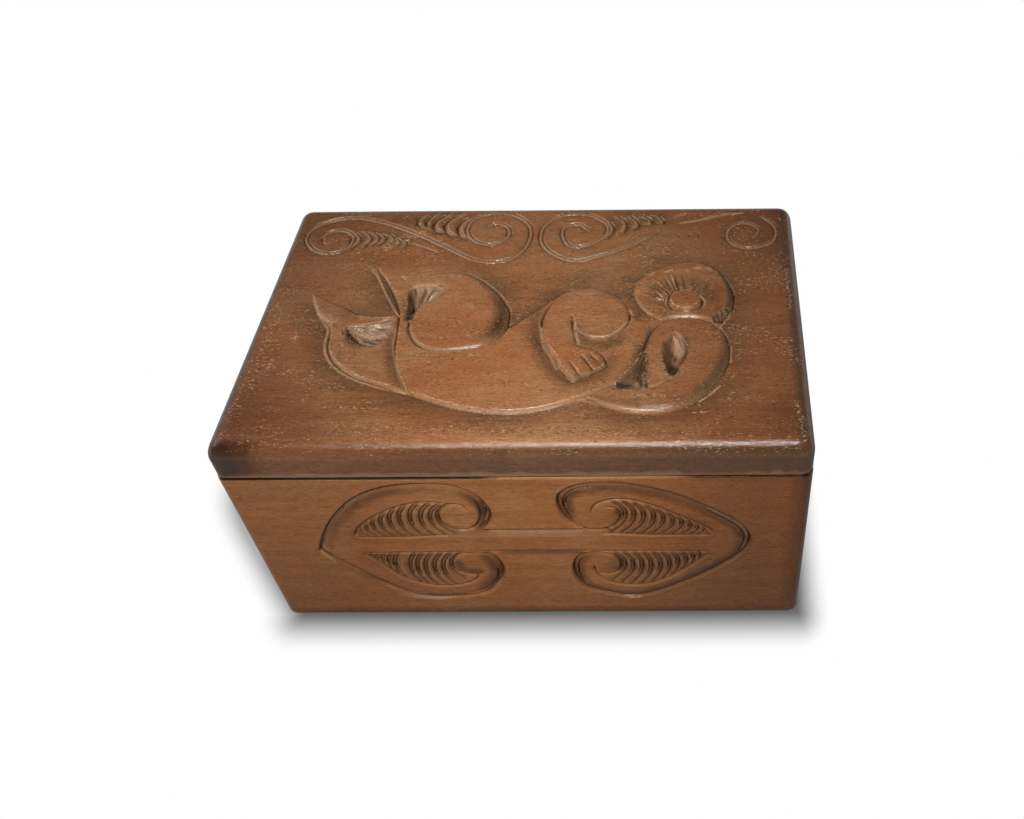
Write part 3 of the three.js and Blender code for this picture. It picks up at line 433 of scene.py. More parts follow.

# Soiling and painted shade that lie in the slopes and beside the cuts
lid_face.mark_all(lid_face.dirt_and_shade, (
    ([(-11, 11), (-9.4, 6), (-8.8, 0), (-9, -6), (-11, -12), (-15, -15.6)], 3.8, [0.6, 1.2, 1.3, 1.3, 1.1, 0.4],
     -1.2),
    ([(-24, 22.6), (-17, 17), (-12.6, 12), (-9, 6)], 6, 0.75, 3),
    ([(-60, 23), (-56, 16.6), (-52.4, 10.4), (-48.4, 2)], 2.2, [0.6, 1, 1.2, 1.2], -0.9),
    ([(-66, 1), (-60, 0.4), (-54, 1.4), (-50.4, 4)], 6, 0.75, 0), ([(-58, 6), (-62, 14)], 8, 0.35, 0),
    ([(-47.6, -12), (-47, -20), (-45, -28), (-41.6, -35)], 2.4, [0.7, 1, 0.9, 0.4], -0.5),
    ([(3, 4), (3.6, -4), (4, -12), (7, -21), (11, -29), (17, -35)], 4, [0.5, 0.9, 0.9, 0.9, 0.9, 0.8], -0.5),
    ([(21, -35), (26, -32), (30, -28), (30.6, -25)], 4, 0.85, 0),
    ([(20, -15), (24, -17), (29, -18), (33, -15)], 3.6, 0.95, 0), ([(18, -8), (20, -12)], 2, 0.8, 0),
    ([(24, -25), (27, -27)], 3, 0.7, 0), ([(28, 13), (34, 8), (38, 2), (39, -3)], 3.4, 0.8, 1.5),
    ([(70.6, 21.4), (73, 15), (73.9, 8), (72.6, 1), (69.6, -5)], 1.7, [0.9, 1.3, 1.4, 1.4, 1.2], 0),
    ([(69.6, 1), (67.6, -5)], 2.4, 0.7, 0), ([(44.6, -10), (43.6, -16), (42, -22)], 1.6, 1, 0),
    ([(72, -14), (72.2, -22), (70.6, -29), (67.4, -35.6), (62, -41.6)], 2.6, [0.5, 1, 1.3, 1.4, 1.2], -1),
    ([(55, -45.6), (62, -42)], 3, 0.8, -0.5), ([(27, -43.6), (34, -45.4), (42, -46)], 2.4, 0.6, 0),
    ([(41.6, -19), (40, -26), (36.4, -33), (34.4, -38)], 2.4, 1.2, 0.4),
    ([(43.6, -22), (43.8, -30), (44, -38)], 1.3, 1.3, -0.4), ([(50.2, -17), (50.2, -24), (52, -30)], 1.5, 1.4, 0),
    ([(56.4, -15), (57.8, -20), (56, -26)], 1.3, 1.4, 0), ([(53.6, -28), (53.6, -31)], 2.4, 0.9, 0),
    ([(-44.6, 11), (-44.4, 4), (-43.6, -3)], 1.9, 1.5, 0),
    ([(-64.2, -9.6), (-61.8, -14), (-58, -16.6)], 1.9, 1.5, 0)))

# Soiling and painted shade on the rounded edges, darkest at the corners, and over the front of the lid, with a band
# of painted shade on the lower part of the front rounding
lid_face.mark_all(lid_face.dirt_and_shade, (
    ([(-102, -65.8), (-84, -65.8), (-60, -65.8), (0, -65.8), (60, -65.8), (102, -65.8)], 3,
     [0.8, 0.5, 0.3, 0.15, 0.2, 0.6]),
    ([(-60, -64.4), (0, -64.4), (50, -64.4), (100, -64.4)], 1.2, [0.2, 0.8, 1, 1.4]),
    ([(-97.4, -62), (-97.4, 64)], 2.6, 0.9), ([(96.6, -62), (96.6, -30), (96.6, 62)], 3, [1.3, 1, 0.9]),
    ([(-95, 63.4), (95, 63.4)], 2.6, 0.8), ([(60, -64.6), (92, -64.6)], 2.2, 0.5)))

# Lips rubbed down to bare wood along the cuts' edges, made brighter where light glints on them: wear and painted
# highlight
lid_face.mark_all(lid_face.pale, (
    ([(-80.9, 8.4), (-79, 4), (-76.6, -0.6), (-74.4, -4), (-71.8, -8), (-71.3, -15), (-69.9, -20), (-66, -26.2),
      (-58.5, -32.2), (-48, -36.9), (-38, -39.6)], 0.62, [0.6, 1.3, 1.3, 1.4, 1.5, 1.3, 1.5, 1.5, 1.5, 1.7, 1.7]),
    ([(-61.8, 24.8), (-58.2, 18.2), (-54.4, 10.6), (-50.6, 4), (-48, -0.4)], 0.62, [1, 1.5, 1.5, 1.3, 1.1]),
    ([(-61.4, -2), (-56, -2.5), (-51, -2.3)], 0.75, 1.7),
    ([(-47.2, -8), (-46.6, -16), (-45.2, -22), (-42.6, -30), (-38.6, -39)], 0.5, 1.2),
    ([(-44.6, 14.4), (-41, 15.6), (-36.4, 15.3)], 0.7, 1.8),
    ([(5.2, -7.6), (5.7, -12), (7.4, -18), (10, -22.4), (11.6, -26.4), (12.6, -28.6)], 0.8,
     [1.3, 1.8, 1.8, 1.9, 1.8, 1.3]),
    ([(16.2, -32.4), (19.2, -35.2)], 0.5, 1.4), ([(17.2, -6), (17.9, -11), (19.2, -16.4)], 0.8, [1.3, 1.8, 1.8]),
    ([(36.8, 1.4), (38.2, -2)], 0.8, 1.7), ([(36.4, -5), (33, -10), (28, -13.6), (23.4, -14.2)], 0.5, 1.2),
    ([(50.2, 9.2), (50, 5), (51.6, 1), (54.4, -0.8), (58, -1), (61.6, 0.4), (64, 3.4), (64.4, 6.6), (62.6, 10.6)],
     0.55, [1, 1.5, 1.2, 1, 1.1, 1.2, 1.4, 1.6, 1.4]),
    ([(57.1, 2.2), (57.9, 1.4)], 1.3, 1.9), ([(51, -3.8), (56, -2.6), (62, -3)], 0.5, [1.1, 1.5, 1.1]),
    ([(74, 0), (71.8, -4.6), (69.8, -7.6)], 0.65, [1, 1.5, 1.9]),
    ([(69, -37.6), (65.6, -41.6), (62, -44.6)], 0.6, 1.5), ([(73.4, -18), (73, -26)], 0.4, 1.2),
    ([(42.4, 21), (46.4, 21.4)], 0.8, 1.5), ([(49.6, 22), (52, 23)], 0.7, 1.5),
    ([(61.6, 24), (66.4, 24)], 0.8, 1.5), ([(53.4, -13), (54.2, -16.6), (55.6, -21)], 1.1, 1.2),
    ([(38.8, -39), (41, -36.6), (43, -38.6)], 1.2, 1.5), ([(40, -33), (41, -37)], 1.6, 1.2),
    ([(20.4, -31.6), (19.6, -29)], 0.45, 1.5), ([(23.4, -23.4), (24, -25)], 0.5, 1.6),
    ([(-23.8, 8.4), (-22.4, 5), (-20.6, 2)], 0.35, 1.8)))

# Painted highlights on the polished edges that face the front
belly_edge = [(-32, -42.4), (-22, -46.3), (-12, -48.6), (0, -49.4), (10, -47.9), (20, -44.8), (28, -40.6)]
lid_face.mark_all(lid_face.bruised, (
    ([*belly_edge, (32, -38)], 0.7, [0.2, 0.6, 1.1, 1.3, 1.3, 1.1, 0.7, 0.4]),
    ([(-38, -17.6), (-32, -19.2), (-26, -19.4), (-19, -18.6), (-13, -16.4)], 0.9, [0.5, 0.8, 0.8, 0.7, 0.5]),
    ([(-42.4, -8), (-41, -13), (-38, -17)], 0.7, 0.6), ([(42, -47), (46, -47.4), (51, -46.8)], 0.9, 1.6),
    ([(30, -44.6), (38, -47), (46, -48), (54, -47), (61, -44)], 0.5, 0.5),
    ([(12, 29.6), (18, 31), (25, 33.4)], 1.1, [0.6, 0.9, 0.7]), ([(14, 37.8), (19, 38.4)], 1, 0.8),
    ([(-20, 41.2), (-16, 40.6)], 0.9, 0.7), ([(-20, 31.4), (-13, 31)], 1, 0.7)))
# A painted highlight along the belly's lower edge
lid_face.mark(lid_face.pale, belly_edge, 0.5, [0.3, 1, 1.8, 2, 2, 1.8, 0.8], 0.35)

# Wear along the lid's edges and beside the scrolls, and six small dents
lid_face.mark_all(lid_face.worn, (
    ([(-93, -4), (-90, -18), (-92, -38)], 10, 0.82), ([(-85, 34.6), (-60, 34.8), (-48, 34.4)], 1, 1.1),
    ([(-46, 34.6), (-41, 34)], 1.6, 1.2), ([(95.5, 24), (95.4, 12), (95.5, 2)], 2.8, 1),
    ([(95, -46), (96, -62)], 4, 0.95), ([(-74, 59.6), (-69, 59)], 1.8, 1), ([(-60, 60), (-54, 58)], 2.4, 0.9),
    ([(-26, 59.6), (-12, 60.4)], 1.4, 0.9), ([(-60, 38), (-46, 48)], 9, 0.95), ([(-44, 21), (-28, 20)], 2, 0.95),
    ([(-34, -12.4), (-30, -13.4)], 1.8, 1.2), ([(40, -43), (50, -42)], 3.4, 1.05),
    ([(0, -36.6), (8, -38)], 1.6, 1.1), ([(8, -40), (16, -41)], 2.4, 0.95), ([(-24, -24), (-13, -21)], 2.4, 0.95),
    ([(-66, -46), (-46, -48)], 2, 0.95), ([(-83, -16), (-82, -12)], 1.6, 1.2), ([(-66, -14), (-64, -18)], 1.6, 1.1),
    ([(-72, -30), (-71, -44)], 3, 0.85), ([(-88, -26), (-86, -20)], 3, 0.95), ([(84, 60.2), (88, 60)], 1, 1.3),
    ([(94, 57), (95, 54)], 1.2, 1.1), ([(38, 47), (44, 48)], 1.6, 1.1), ([(30, 47.6), (29.4, 44)], 1, 1.2),
    ([(58, 42), (62, 41.6)], 0.9, 1.3), ([(76, 34), (84, 32)], 3, 0.9), ([(-92, -45), (-76, -60)], 9, 0.5),
    ([(-50, -56), (40, -59)], 8, 0.8), ([(30, -57), (80, -60)], 6, 0.65), ([(60, -50), (64, -50)], 1.4, 1.1)))
for u, v in ((1.8, -17.2), (32.5, -22.8), (-65.4, 25), (70, -45.8), (86.6, -46), (90, -18)):
    groove([(u, v), (u + 0.3, v)], 0.5, 0.5)

# The slab itself: a fine grid is laid over the top and wrapped round the rounded edges and the walls
for_chamfer = lid_arris * math.sqrt(2)
arc = lid_edge_radius * math.pi / 2
wall = lid_top - lid_bottom - lid_edge_radius - lid_arris
first_line, arc_lines, wall_lines = 0.8, 12, 5
edge_run = np.concatenate([np.linspace(first_line, arc, arc_lines), arc + np.linspace(0, wall, wall_lines)[1:],
                           [arc + wall + for_chamfer / 2, arc + wall + for_chamfer]])


def wrapped(run):
    """How far out and how far down the surface lies, so far along it from the edge of the flat top."""
    turn = np.clip(run, 0, arc) / lid_edge_radius
    past = np.clip(run - arc - wall, 0, for_chamfer) / math.sqrt(2)
    straight = np.clip(run - arc, 0, wall)
    out = lid_edge_radius * np.sin(turn) - past
    down = lid_edge_radius * (1 - np.cos(turn)) + straight + past
    return out, down


def grid_lines(low, high, values):
    flat = values[(values >= low - 1e-6) & (values <= high + 1e-6)]
    return np.concatenate([low - edge_run[::-1], flat, high + edge_run])


def add_grid(name, columns, rows):
    """A sheet of quads with so many lines each way; its points run along a row first."""
    bpy.ops.object.select_all(action="DESELECT")
    bpy.ops.mesh.primitive_grid_add(x_subdivisions=columns - 1, y_subdivisions=rows - 1, size=1)
    sheet = bpy.context.object
    sheet.name = sheet.data.name = name
    return sheet


def place_points(piece, points):
    piece.data.vertices.foreach_set("co", (np.asarray(points, np.float32) * MM).ravel())
    piece.data.update()


def points_of(piece):
    points = np.empty(len(piece.data.vertices) * 3, np.float32)
    piece.data.vertices.foreach_get("co", points)
    return points.reshape(-1, 3).astype(float) / MM


def thin_out(piece, triangles, low, high):
    """Lets the flat parts have fewer and larger faces, so that the cuts keep their fine ones. Nothing may
    stand out past the two corners."""
    have = 2 * len(piece.data.polygons)
    if have > triangles:
        modifier = piece.modifiers.new("thin", "DECIMATE")
        modifier.ratio = triangles / have
        bpy.ops.object.modifier_apply(modifier=modifier.name)
    place_points(piece, np.clip(points_of(piece), low, high))


def select_only(piece):
    bpy.ops.object.select_all(action="DESELECT")
    piece.select_set(True)
    bpy.context.view_layer.objects.active = piece


def combine(piece, other, operation="DIFFERENCE"):
    """Cuts the other solid away from the piece, or grows it on."""
    select_only(piece)
    modifier = piece.modifiers.new("combined", "BOOLEAN")
    modifier.operation, modifier.solver, modifier.object = operation, "EXACT", other
    bpy.ops.object.modifier_apply(modifier=modifier.name)
    bpy.data.objects.remove(other)


def add_block(name, low, high):
    """A rectangular block between two corners."""
    bpy.ops.object.select_all(action="DESELECT")
    middle, size = (np.array(low) + high) / 2, np.array(high) - low
    bpy.ops.mesh.primitive_cube_add(size=1, location=middle * MM, scale=size * MM)
    bpy.ops.object.transform_apply(location=True, rotation=False, scale=True)
    block = bpy.context.object
    block.name = block.data.name = name
    return block


hinge_sides = ("left", "right")
hinge_room = 0.3
screw_hole_radius, screw_hole_depth = 1.3, 7.6
leaf_gap, past_wood = 0.1, 1


def cut_hinge_seat(piece, side, body, low, high):
    """Chops a mortise for one leaf between two corners, and bores its three screw holes."""
    seat = add_block("seat", low, high)
    for k in (1, 2, 3):
        screw_low, screw_high = box_of(f"screw_{side}_{body}_{k}")
        middle = (screw_low + screw_high) / 2
        bpy.ops.mesh.primitive_cylinder_add(vertices=24, radius=screw_hole_radius * MM,
                                            depth=screw_hole_depth * MM, location=middle * MM)
        combine(seat, bpy.context.object, "UNION")
    combine(piece, seat)


lines_u = grid_lines(-flat_x, flat_x, lid_face.u)
lines_v = grid_lines(-flat_y, flat_y, lid_face.v)
run_u, run_v = np.meshgrid(lines_u, lines_v)
near_u, near_v = np.clip(run_u, -flat_x, flat_x), np.clip(run_v, -flat_y, flat_y)
past_u, past_v = np.abs(run_u - near_u), np.abs(run_v - near_v)
share = np.minimum(past_u, past_v) / np.maximum(np.maximum(past_u, past_v), 1e-9)
angle = np.where(past_u >= past_v, math.pi / 4 * share, math.pi / 2 - math.pi / 4 * share)
squarer = (np.cos(angle) ** corner_squareness + np.sin(angle) ** corner_squareness) ** (-1 / corner_squareness)
out, down = wrapped(np.maximum(past_u, past_v))
x = near_u + np.sign(run_u) * out * np.cos(angle) * squarer
y = near_v + np.sign(run_v) * out * np.sin(angle) * squarer
cut_here = lid_face.read(lid_face.depth + lid_face.planed(), x, y) * np.clip(1 - (down / 2) ** 2, 0, 1)
z = lid_top - down - cut_here
lid_piece = add_grid("carved_lid", len(lines_u), len(lines_v))
place_points(lid_piece, np.column_stack([x.ravel(), y.ravel(), z.ravel()]))
thin_out(lid_piece, relief_triangles, lid_low, lid_high)


def select_border(piece):
    """Opens the mesh for editing, with the edges of its open border selected."""
    select_only(piece)
    bpy.ops.object.mode_set(mode="EDIT")
    bpy.ops.mesh.select_mode(type="EDGE")
    bpy.ops.mesh.select_all(action="DESELECT")
    bpy.ops.mesh.select_non_manifold(extend=False, use_wire=False, use_boundary=True, use_multi_face=False,
                                     use_non_contiguous=False, use_verts=False)


def close_behind(piece, level=None):
    """Closes the open border with a face, and first flattens it onto a level where one is given."""
    select_border(piece)
    if level is not None:
        bpy.ops.transform.resize(value=(1, 1, 0), center_override=(0, 0, level * MM))
    bpy.ops.mesh.edge_face_add()
    bpy.ops.mesh.select_all(action="SELECT")
    bpy.ops.mesh.normals_make_consistent(inside=False)
    bpy.ops.object.mode_set(mode="OBJECT")


close_behind(lid_piece, lid_bottom)
for side in hinge_sides:
    leaf_low, leaf_high = box_of(f"hinge_{side}_lid_leaf")
    cut_hinge_seat(lid_piece, side, "lid",
                   (leaf_low[0] - hinge_room, leaf_low[1] - hinge_room, lid_bottom - past_wood),
                   (leaf_high[0] + hinge_room, lid_high[1] + past_wood, leaf_high[2] + leaf_gap))


def keep_stain_and_painted_light(piece, face, u, v, carved, soiled, bright_side, lit_wall_paleness, edge_wear, exposed=1):
    """Keeps at each point how deep, worn and dirty the wood is there, and where highlight and shade are painted on
    it, for the stain to follow. Walls that face the bright side get a painted highlight; the cuts' hollows are
    darkened with stain and painted shade, less on those walls. Only the carved side is waxed."""
    carved = np.where(carved, 1.0, 0.0)
    fingertip, steep_wall = 0.55, 0.8
    touched = blurred(face.depth, fingertip, fingertip)
    # Painted highlight on the walls that face the bright side
    lit_wall = rise(bright_side * np.gradient(face.depth, face.v, axis=0), 0, steep_wall)
    # Stain and painted shade in the cuts' hollows, weaker on walls that face the bright side
    cut_stain_and_shade = rise(face.depth - touched, 0.04, 0.3) * (1 - 0.8 * lit_wall)
    fields = {"cut_stain_and_shade": cut_stain_and_shade, "rubbed": rise(touched - face.depth, 0.03, 0.16),
              "dirt_and_shade": face.dirt_and_shade, "bruised": face.bruised, "worn": face.worn,
              "pale": np.maximum(face.pale, lit_wall_paleness * lit_wall)}
    values = {name: face.read(field, u, v) * carved for name, field in fields.items()}
    values["pale"] = np.maximum(values["pale"], edge_wear)
    values.update(soiled=soiled * carved, waxed=carved, exposed=exposed * carved)
    for name, value in values.items():
        attribute = piece.data.attributes.new(name, "FLOAT", "POINT")
        attribute.data.foreach_set("value", value.astype(np.float32))


def rubbed_rim(x, at_rim, amount):
    """Pale wear along an edge of the seam, which fades towards the box's two corners."""
    return np.where(at_rim, amount, 0) * rise(np.abs(x + 10), 75, -20)


def smooth(piece, degrees):
    select_only(piece)
    bpy.ops.object.shade_smooth_by_angle(angle=math.radians(degrees))


# Painted shade, partly soiling, darkens the top towards both ends and the back, where the light falls off. The edges
# all round are darker, and the front left corner is nearly black.
x, y, z = points_of(lid_piece).T
clean_middle = -5
sideways = np.where(x < clean_middle, (clean_middle - x) / (76 + 42 * rise(y, -50, 40)), (x - clean_middle) / 112)
top_shade_and_grime = 1.28 * (1 - np.exp(-sideways ** 2)) + 0.3 * rise(y, 5, 60)
top_shade_and_grime = top_shade_and_grime + 0.15 * rise(x, 40, 30) * rise(y, -38, -12)
on_edge = rise(np.maximum(np.abs(x) - flat_x, np.abs(y) - flat_y), 2.8, 2)
corner_darkening = np.where(x < 0, 0.15 + rise(x, -86, -10), 0.3 * rise(x, 0, 90)) * (y < flat_y)
on_end_wall = rise(np.abs(y), flat_y, -20) * rise(z, lid_top - 4, -3)
edge_darkening = (0.52 + corner_darkening) * (1 - 0.65 * on_end_wall)
black_corner = rise(x, -81, -14) * rise(y, -57, -5) * rise(z, lid_top, -1.2)
keep_stain_and_painted_light(lid_piece, lid_face, x, y, carved=z > lid_bottom + lid_arris + 0.1,
           soiled=np.clip(top_shade_and_grime * (1 - on_edge) + on_edge * edge_darkening, 0, 1.4) + black_corner,
           bright_side=-1, lit_wall_paleness=0.45,
           edge_wear=rubbed_rim(x, (z > lid_bottom + 0.4) & (z < lid_bottom + 1.4) & (y < 0), 0.8),
           exposed=1 - 0.6 * rise(z, lid_top - 3, -3))
smooth(lid_piece, 50)


class Finish:
    """A material, and short ways to add its nodes. Every pattern on it is measured in millimetres."""

    def __init__(self, name):
        self.material = bpy.data.materials.new(name)
        self.material.use_nodes = True
        self.tree = self.material.node_tree
        self.shader = self.tree.nodes["Principled BSDF"]

    def node(self, kind, values, output=0, **settings):
        made = self.tree.nodes.new("ShaderNode" + kind)
        for key, value in settings.items():
            setattr(made, key, value)
        for key, value in values.items():
            self.join(value, made.inputs[key])
        return made.outputs[output]

    def join(self, value, socket):
        if isinstance(value, bpy.types.NodeSocket):
            self.tree.links.new(value, socket)
        else:
            socket.default_value = (*value, 1) if socket.type == "RGBA" else value

    def math(self, operation, *values):
        return self.node("Math", dict(enumerate(values)), operation=operation)

    def mix(self, share, first, second):
        return self.node("Mix", {0: share, 6: first, 7: second}, output=2, data_type="RGBA")

    def ramp(self, value, low, high, to_low=0, to_high=1):
        return self.node("MapRange", {0: value, 1: low, 2: high, 3: to_low, 4: to_high},
                         interpolation_type="SMOOTHSTEP")

    def place(self, turn=0, middle=(0, 0, 0)):
        """Where a point of the piece lies, turned and measured from the middle."""
        return self.node("Mapping", {"Vector": self.node("TexCoord", {}, output=3), "Scale": (1 / MM,) * 3,
                                     "Rotation": (0, 0, turn), "Location": [-each for each in middle]})

    def noise(self, place, stretch, detail=2, roughness=0.5):
        spot = self.node("VectorMath", {0: place, 1: stretch}, operation="MULTIPLY")
        return self.node("TexNoise", {"Vector": spot, "Scale": 1, "Detail": detail, "Roughness": roughness})

    def attribute(self, name):
        return self.node("Attribute", {}, output=2, attribute_name=name)


# Colours of the wood, in the stain's two tones, as wax, soiling and wear have changed them, and for the painted
# shade, shadows and highlights
box_tones, lid_tones = ((0.445, 0.165, 0.048), (0.49, 0.222, 0.08)), ((0.465, 0.178, 0.064), (0.54, 0.262, 0.112))
box_dirt_shade_colour, lid_dirt_shade_colour = (0.085, 0.031, 0.011), (0.08, 0.042, 0.018)
dark_grain, pore_and_shadow_colour, cut_stain_shade_colour = (0.2, 0.066, 0.022), (0.04, 0.014, 0.005), (0.022, 0.009, 0.003)
grime_shade_colour, near_black, seam_shadow_colour = (0.08, 0.019, 0.004), (0.018, 0.007, 0.002), (0.006, 0.003, 0.002)
bruised_wood, bare_lip_and_highlight, bare_wood = (0.34, 0.26, 0.18), (0.58, 0.36, 0.2), (0.64, 0.39, 0.2)
ring_width = 4.6


def stained_wood(name, pith, turn=0, carved=False, shine=0.2, flecked=0.1, tones=box_tones, dirt_shade_colour=box_dirt_shade_colour,
                 seam=None):
    """Flat-sawn wood, stained reddish brown and waxed. pith is a point on the middle line of its rings, and seam a
    point on the outer edge under the lid, where a painted shadow of the gap darkens the rim towards both ends."""
    wood = Finish(name)
    place = wood.place(turn, pith)
    parts = wood.node("SeparateXYZ", {0: place}).node
    across = wood.math("SQRT", wood.math("ADD", wood.math("MULTIPLY", parts.outputs[1], parts.outputs[1]),
                                         wood.math("MULTIPLY", parts.outputs[2], parts.outputs[2])))
    wander = wood.noise(place, (0.005, 0.018, 0.018))
    ripple = wood.noise(place, (0.02, 0.13, 0.13), 3)
    run = wood.math("MULTIPLY_ADD", wander, 16, wood.math("MULTIPLY_ADD", ripple, 3.5, across))
    ring = wood.math("FRACT", wood.math("DIVIDE", run, ring_width))
    late = wood.math("MULTIPLY", wood.ramp(ring, 0.2, 0.85), wood.ramp(ring, 1.0, 0.88))
    fibre = wood.noise(place, (0.2, 1.1, 1.1), 5, 0.7)
    dash = wood.noise(place, (0.6, 2, 2), 3, 0.6)
    streak = wood.noise(place, (0.02, 0.16, 0.16), 3)
    blotch = wood.noise(place, (0.022, 0.035, 0.035), 4, 0.6)
    patch = wood.noise(place, (0.06, 0.11, 0.11), 3)
    body = wood.mix(wood.ramp(blotch, 0.36, 0.64), *tones)
    dark = wood.math("MULTIPLY_ADD", wood.ramp(fibre, 0.38, 0.66), 0.3, wood.math("MULTIPLY", late, 0.08))
    dark = wood.math("MULTIPLY_ADD", wood.ramp(streak, 0.42, 0.66), 0.14, dark)
    dark = wood.math("MULTIPLY_ADD", wood.ramp(dash, 0.42, 0.64), 0.3, dark)
    body = wood.mix(dark, body, dark_grain)
    gloss = wood.math("MULTIPLY_ADD", fibre, 0.14, 0.3)
    worn = wood.ramp(patch, 0.38, 0.66, 0.05 + 0.38 * flecked, 0.12 + 0.58 * flecked)
    if carved:
        cut, dirt_and_shade, soiled = [wood.attribute(each) for each in ("cut_stain_and_shade", "dirt_and_shade", "soiled")]
        rubbed, bruised, pale = [wood.attribute(each) for each in ("rubbed", "bruised", "pale")]
        lumpy = wood.math("ADD", blotch, wood.math("MULTIPLY", dash, 0.5))
        # Soiling and painted shade on the top and edges, and the nearly black corner
        body = wood.mix(wood.math("MULTIPLY", soiled, wood.ramp(lumpy, 0.55, 0.95, 0.8, 1)), body, grime_shade_colour)
        body = wood.mix(wood.ramp(soiled, 1.4, 2.1, 0, 0.9), body, near_black)
        # Painted highlight, light grey, on polished edges, slopes and hollow floors that face the light
        body = wood.mix(wood.math("MULTIPLY", bruised, wood.ramp(dash, 0.35, 0.6, 0.35, 0.9)), body, bruised_wood)
        # Soiling and painted shade
        dirt_shade_share = wood.math("MULTIPLY", dirt_and_shade, wood.ramp(wood.math("ADD", patch, dash), 0.8, 1.2, 0.6, 0.9))
        body = wood.mix(dirt_shade_share, body, dirt_shade_colour)
        # Stain and painted shade in the cuts' hollows
        body = wood.mix(wood.math("MULTIPLY", cut, 0.88), body, cut_stain_shade_colour)
        # Wear on lips and ridges, with painted highlights on edges and on walls that face the light
        body = wood.mix(wood.math("MULTIPLY", pale, wood.ramp(dash, 0.36, 0.62, 0.25, 0.74)), body, bare_lip_and_highlight)
        waxed = wood.attribute("waxed")
        gloss = wood.math("MULTIPLY_ADD", waxed, -0.23, gloss)
        worn = wood.math("MULTIPLY", wood.attribute("exposed"), wood.math("MAXIMUM", wood.attribute("worn"), worn))
        worn = wood.math("MAXIMUM", worn, wood.math("MULTIPLY", rubbed, 0.3 + 0.6 * flecked))
    # Chafed flecks of bare wood, each with a painted shadow beside it as on a small dent lit from one side; the
    # shadows join the dark pores
    chafes = [wood.noise(wood.node("VectorMath", {0: place, 1: shift}, operation="ADD"), (0.7, 2.3, 2.3), 2, 0.6)
              for shift in ((0, 0, 0), (0.2, 0.5, 0.3))]
    chafed, shaded = [wood.ramp(wood.math("MULTIPLY_ADD", worn, 0.37, chafe), 0.84, 0.93) for chafe in chafes]
    speck = wood.noise(place, (0.8, 1.4, 1.4), 2, 0.6)
    pores_and_fleck_shadows = wood.math("MAXIMUM", wood.ramp(speck, 0.38, 0.29), wood.math("MULTIPLY", shaded, 0.7))
    body = wood.mix(wood.math("MULTIPLY", pores_and_fleck_shadows, 0.3 + 0.4 * flecked), body, pore_and_shadow_colour)
    body = wood.mix(wood.math("MULTIPLY", chafed, 0.72), body, bare_wood)
    # Painted shadow of the gap under the lid, along the rim's outer edge, weakest near the middle
    if seam:
        x, y, z = [wood.math("ADD", parts.outputs[k], pith[k]) for k in range(3)]
        aside = wood.ramp(wood.math("ABSOLUTE", wood.math("ADD", x, -seam[0])), 28, 38, 0.15, 0.95)
        under_lid, outer = wood.ramp(z, seam[2] - 0.5, seam[2] - 0.2), wood.ramp(y, seam[1] + 1.6, seam[1] + 1)
        body = wood.mix(wood.math("MULTIPLY", aside, wood.math("MULTIPLY", under_lid, outer)), body, seam_shadow_colour)
    wood.join(body, wood.shader.inputs["Base Color"])
    wood.join(gloss, wood.shader.inputs["Roughness"])
    wood.shader.inputs["Specular IOR Level"].default_value = shine
    height = wood.math("MULTIPLY_ADD", fibre, 0.35, wood.math("MULTIPLY", dash, 0.2))
    height = wood.math("MULTIPLY_ADD", pores_and_fleck_shadows, -0.1, height)
    wood.join(wood.node("Bump", {"Height": height, "Distance": 0.001, "Strength": 0.3}), wood.shader.inputs["Normal"])
    return wood.material


lid_piece.data.materials.append(stained_wood("stained_lid_wood", (0, 30, 20), carved=True, shine=0.5, flecked=1,
                                             tones=lid_tones, dirt_shade_colour=lid_dirt_shade_colour))
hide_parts("lid_board")
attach(lid_piece, "lid")

# The front wall: a board of the same wood, carved with two scrolled leaves joined by a raised bar.
# Its ends wrap round the corners and are rebated behind for the end walls.
front_low, front_high = box_of("front_board")
corner_radius, foot_radius, wall_lip = 4, 2, 4
end_wall_thickness, glue_gap = 10, 0.1
rebate_x = box_width / 2 - (end_wall_thickness + glue_gap)
body_top = front_high[2]
front_face = CarvedFace((-box_width / 2 + corner_radius, box_width / 2 - corner_radius), (foot_radius, body_top), 2)
carve, groove = front_face.cut, front_face.groove

# Outlines of the two ends, each with a steep outer wall and a long slope inside
carve([(-76, 43), (-72, 52.8), (-65, 64.3), (-55, 74.7), (-45, 79.7), (-33, 81.6), (-22, 80.6), (-14.5, 75.5),
       (-10.9, 67), (-11.8, 60), (-14, 56.3)], (0.6, STRAIGHT), (3.6, ROUNDED), 1.5, (0, 5))
carve([(-19.7, 41.7), (-14, 39.5), (-11.2, 31), (-12.7, 24.3), (-19, 15.7), (-28.3, 12.6), (-41.7, 12.4),
       (-50.3, 16), (-59.7, 24.3), (-69, 34.3), (-73.6, 40), (-76, 43)], (1.8, ROUNDED), (1.2, STRAIGHT), 1.4, (5, 0))
carve([(20, 55.6), (15.7, 60.3), (13.3, 68.3), (14, 75), (18.7, 79.4), (26.7, 81.5), (36, 81.2), (50, 76.8),
       (64.7, 67.8), (76.7, 56.8), (79.6, 50), (77.7, 41), (65.3, 27.7), (49.3, 16.4), (41, 12.2), (35.3, 11.4),
       (26, 14.2), (19, 17.6), (15.7, 25), (15.6, 34), (18.5, 39.6), (23, 41.4)],
      (0.6, STRAIGHT), (3.4, ROUNDED), 1.5, (4, 5))
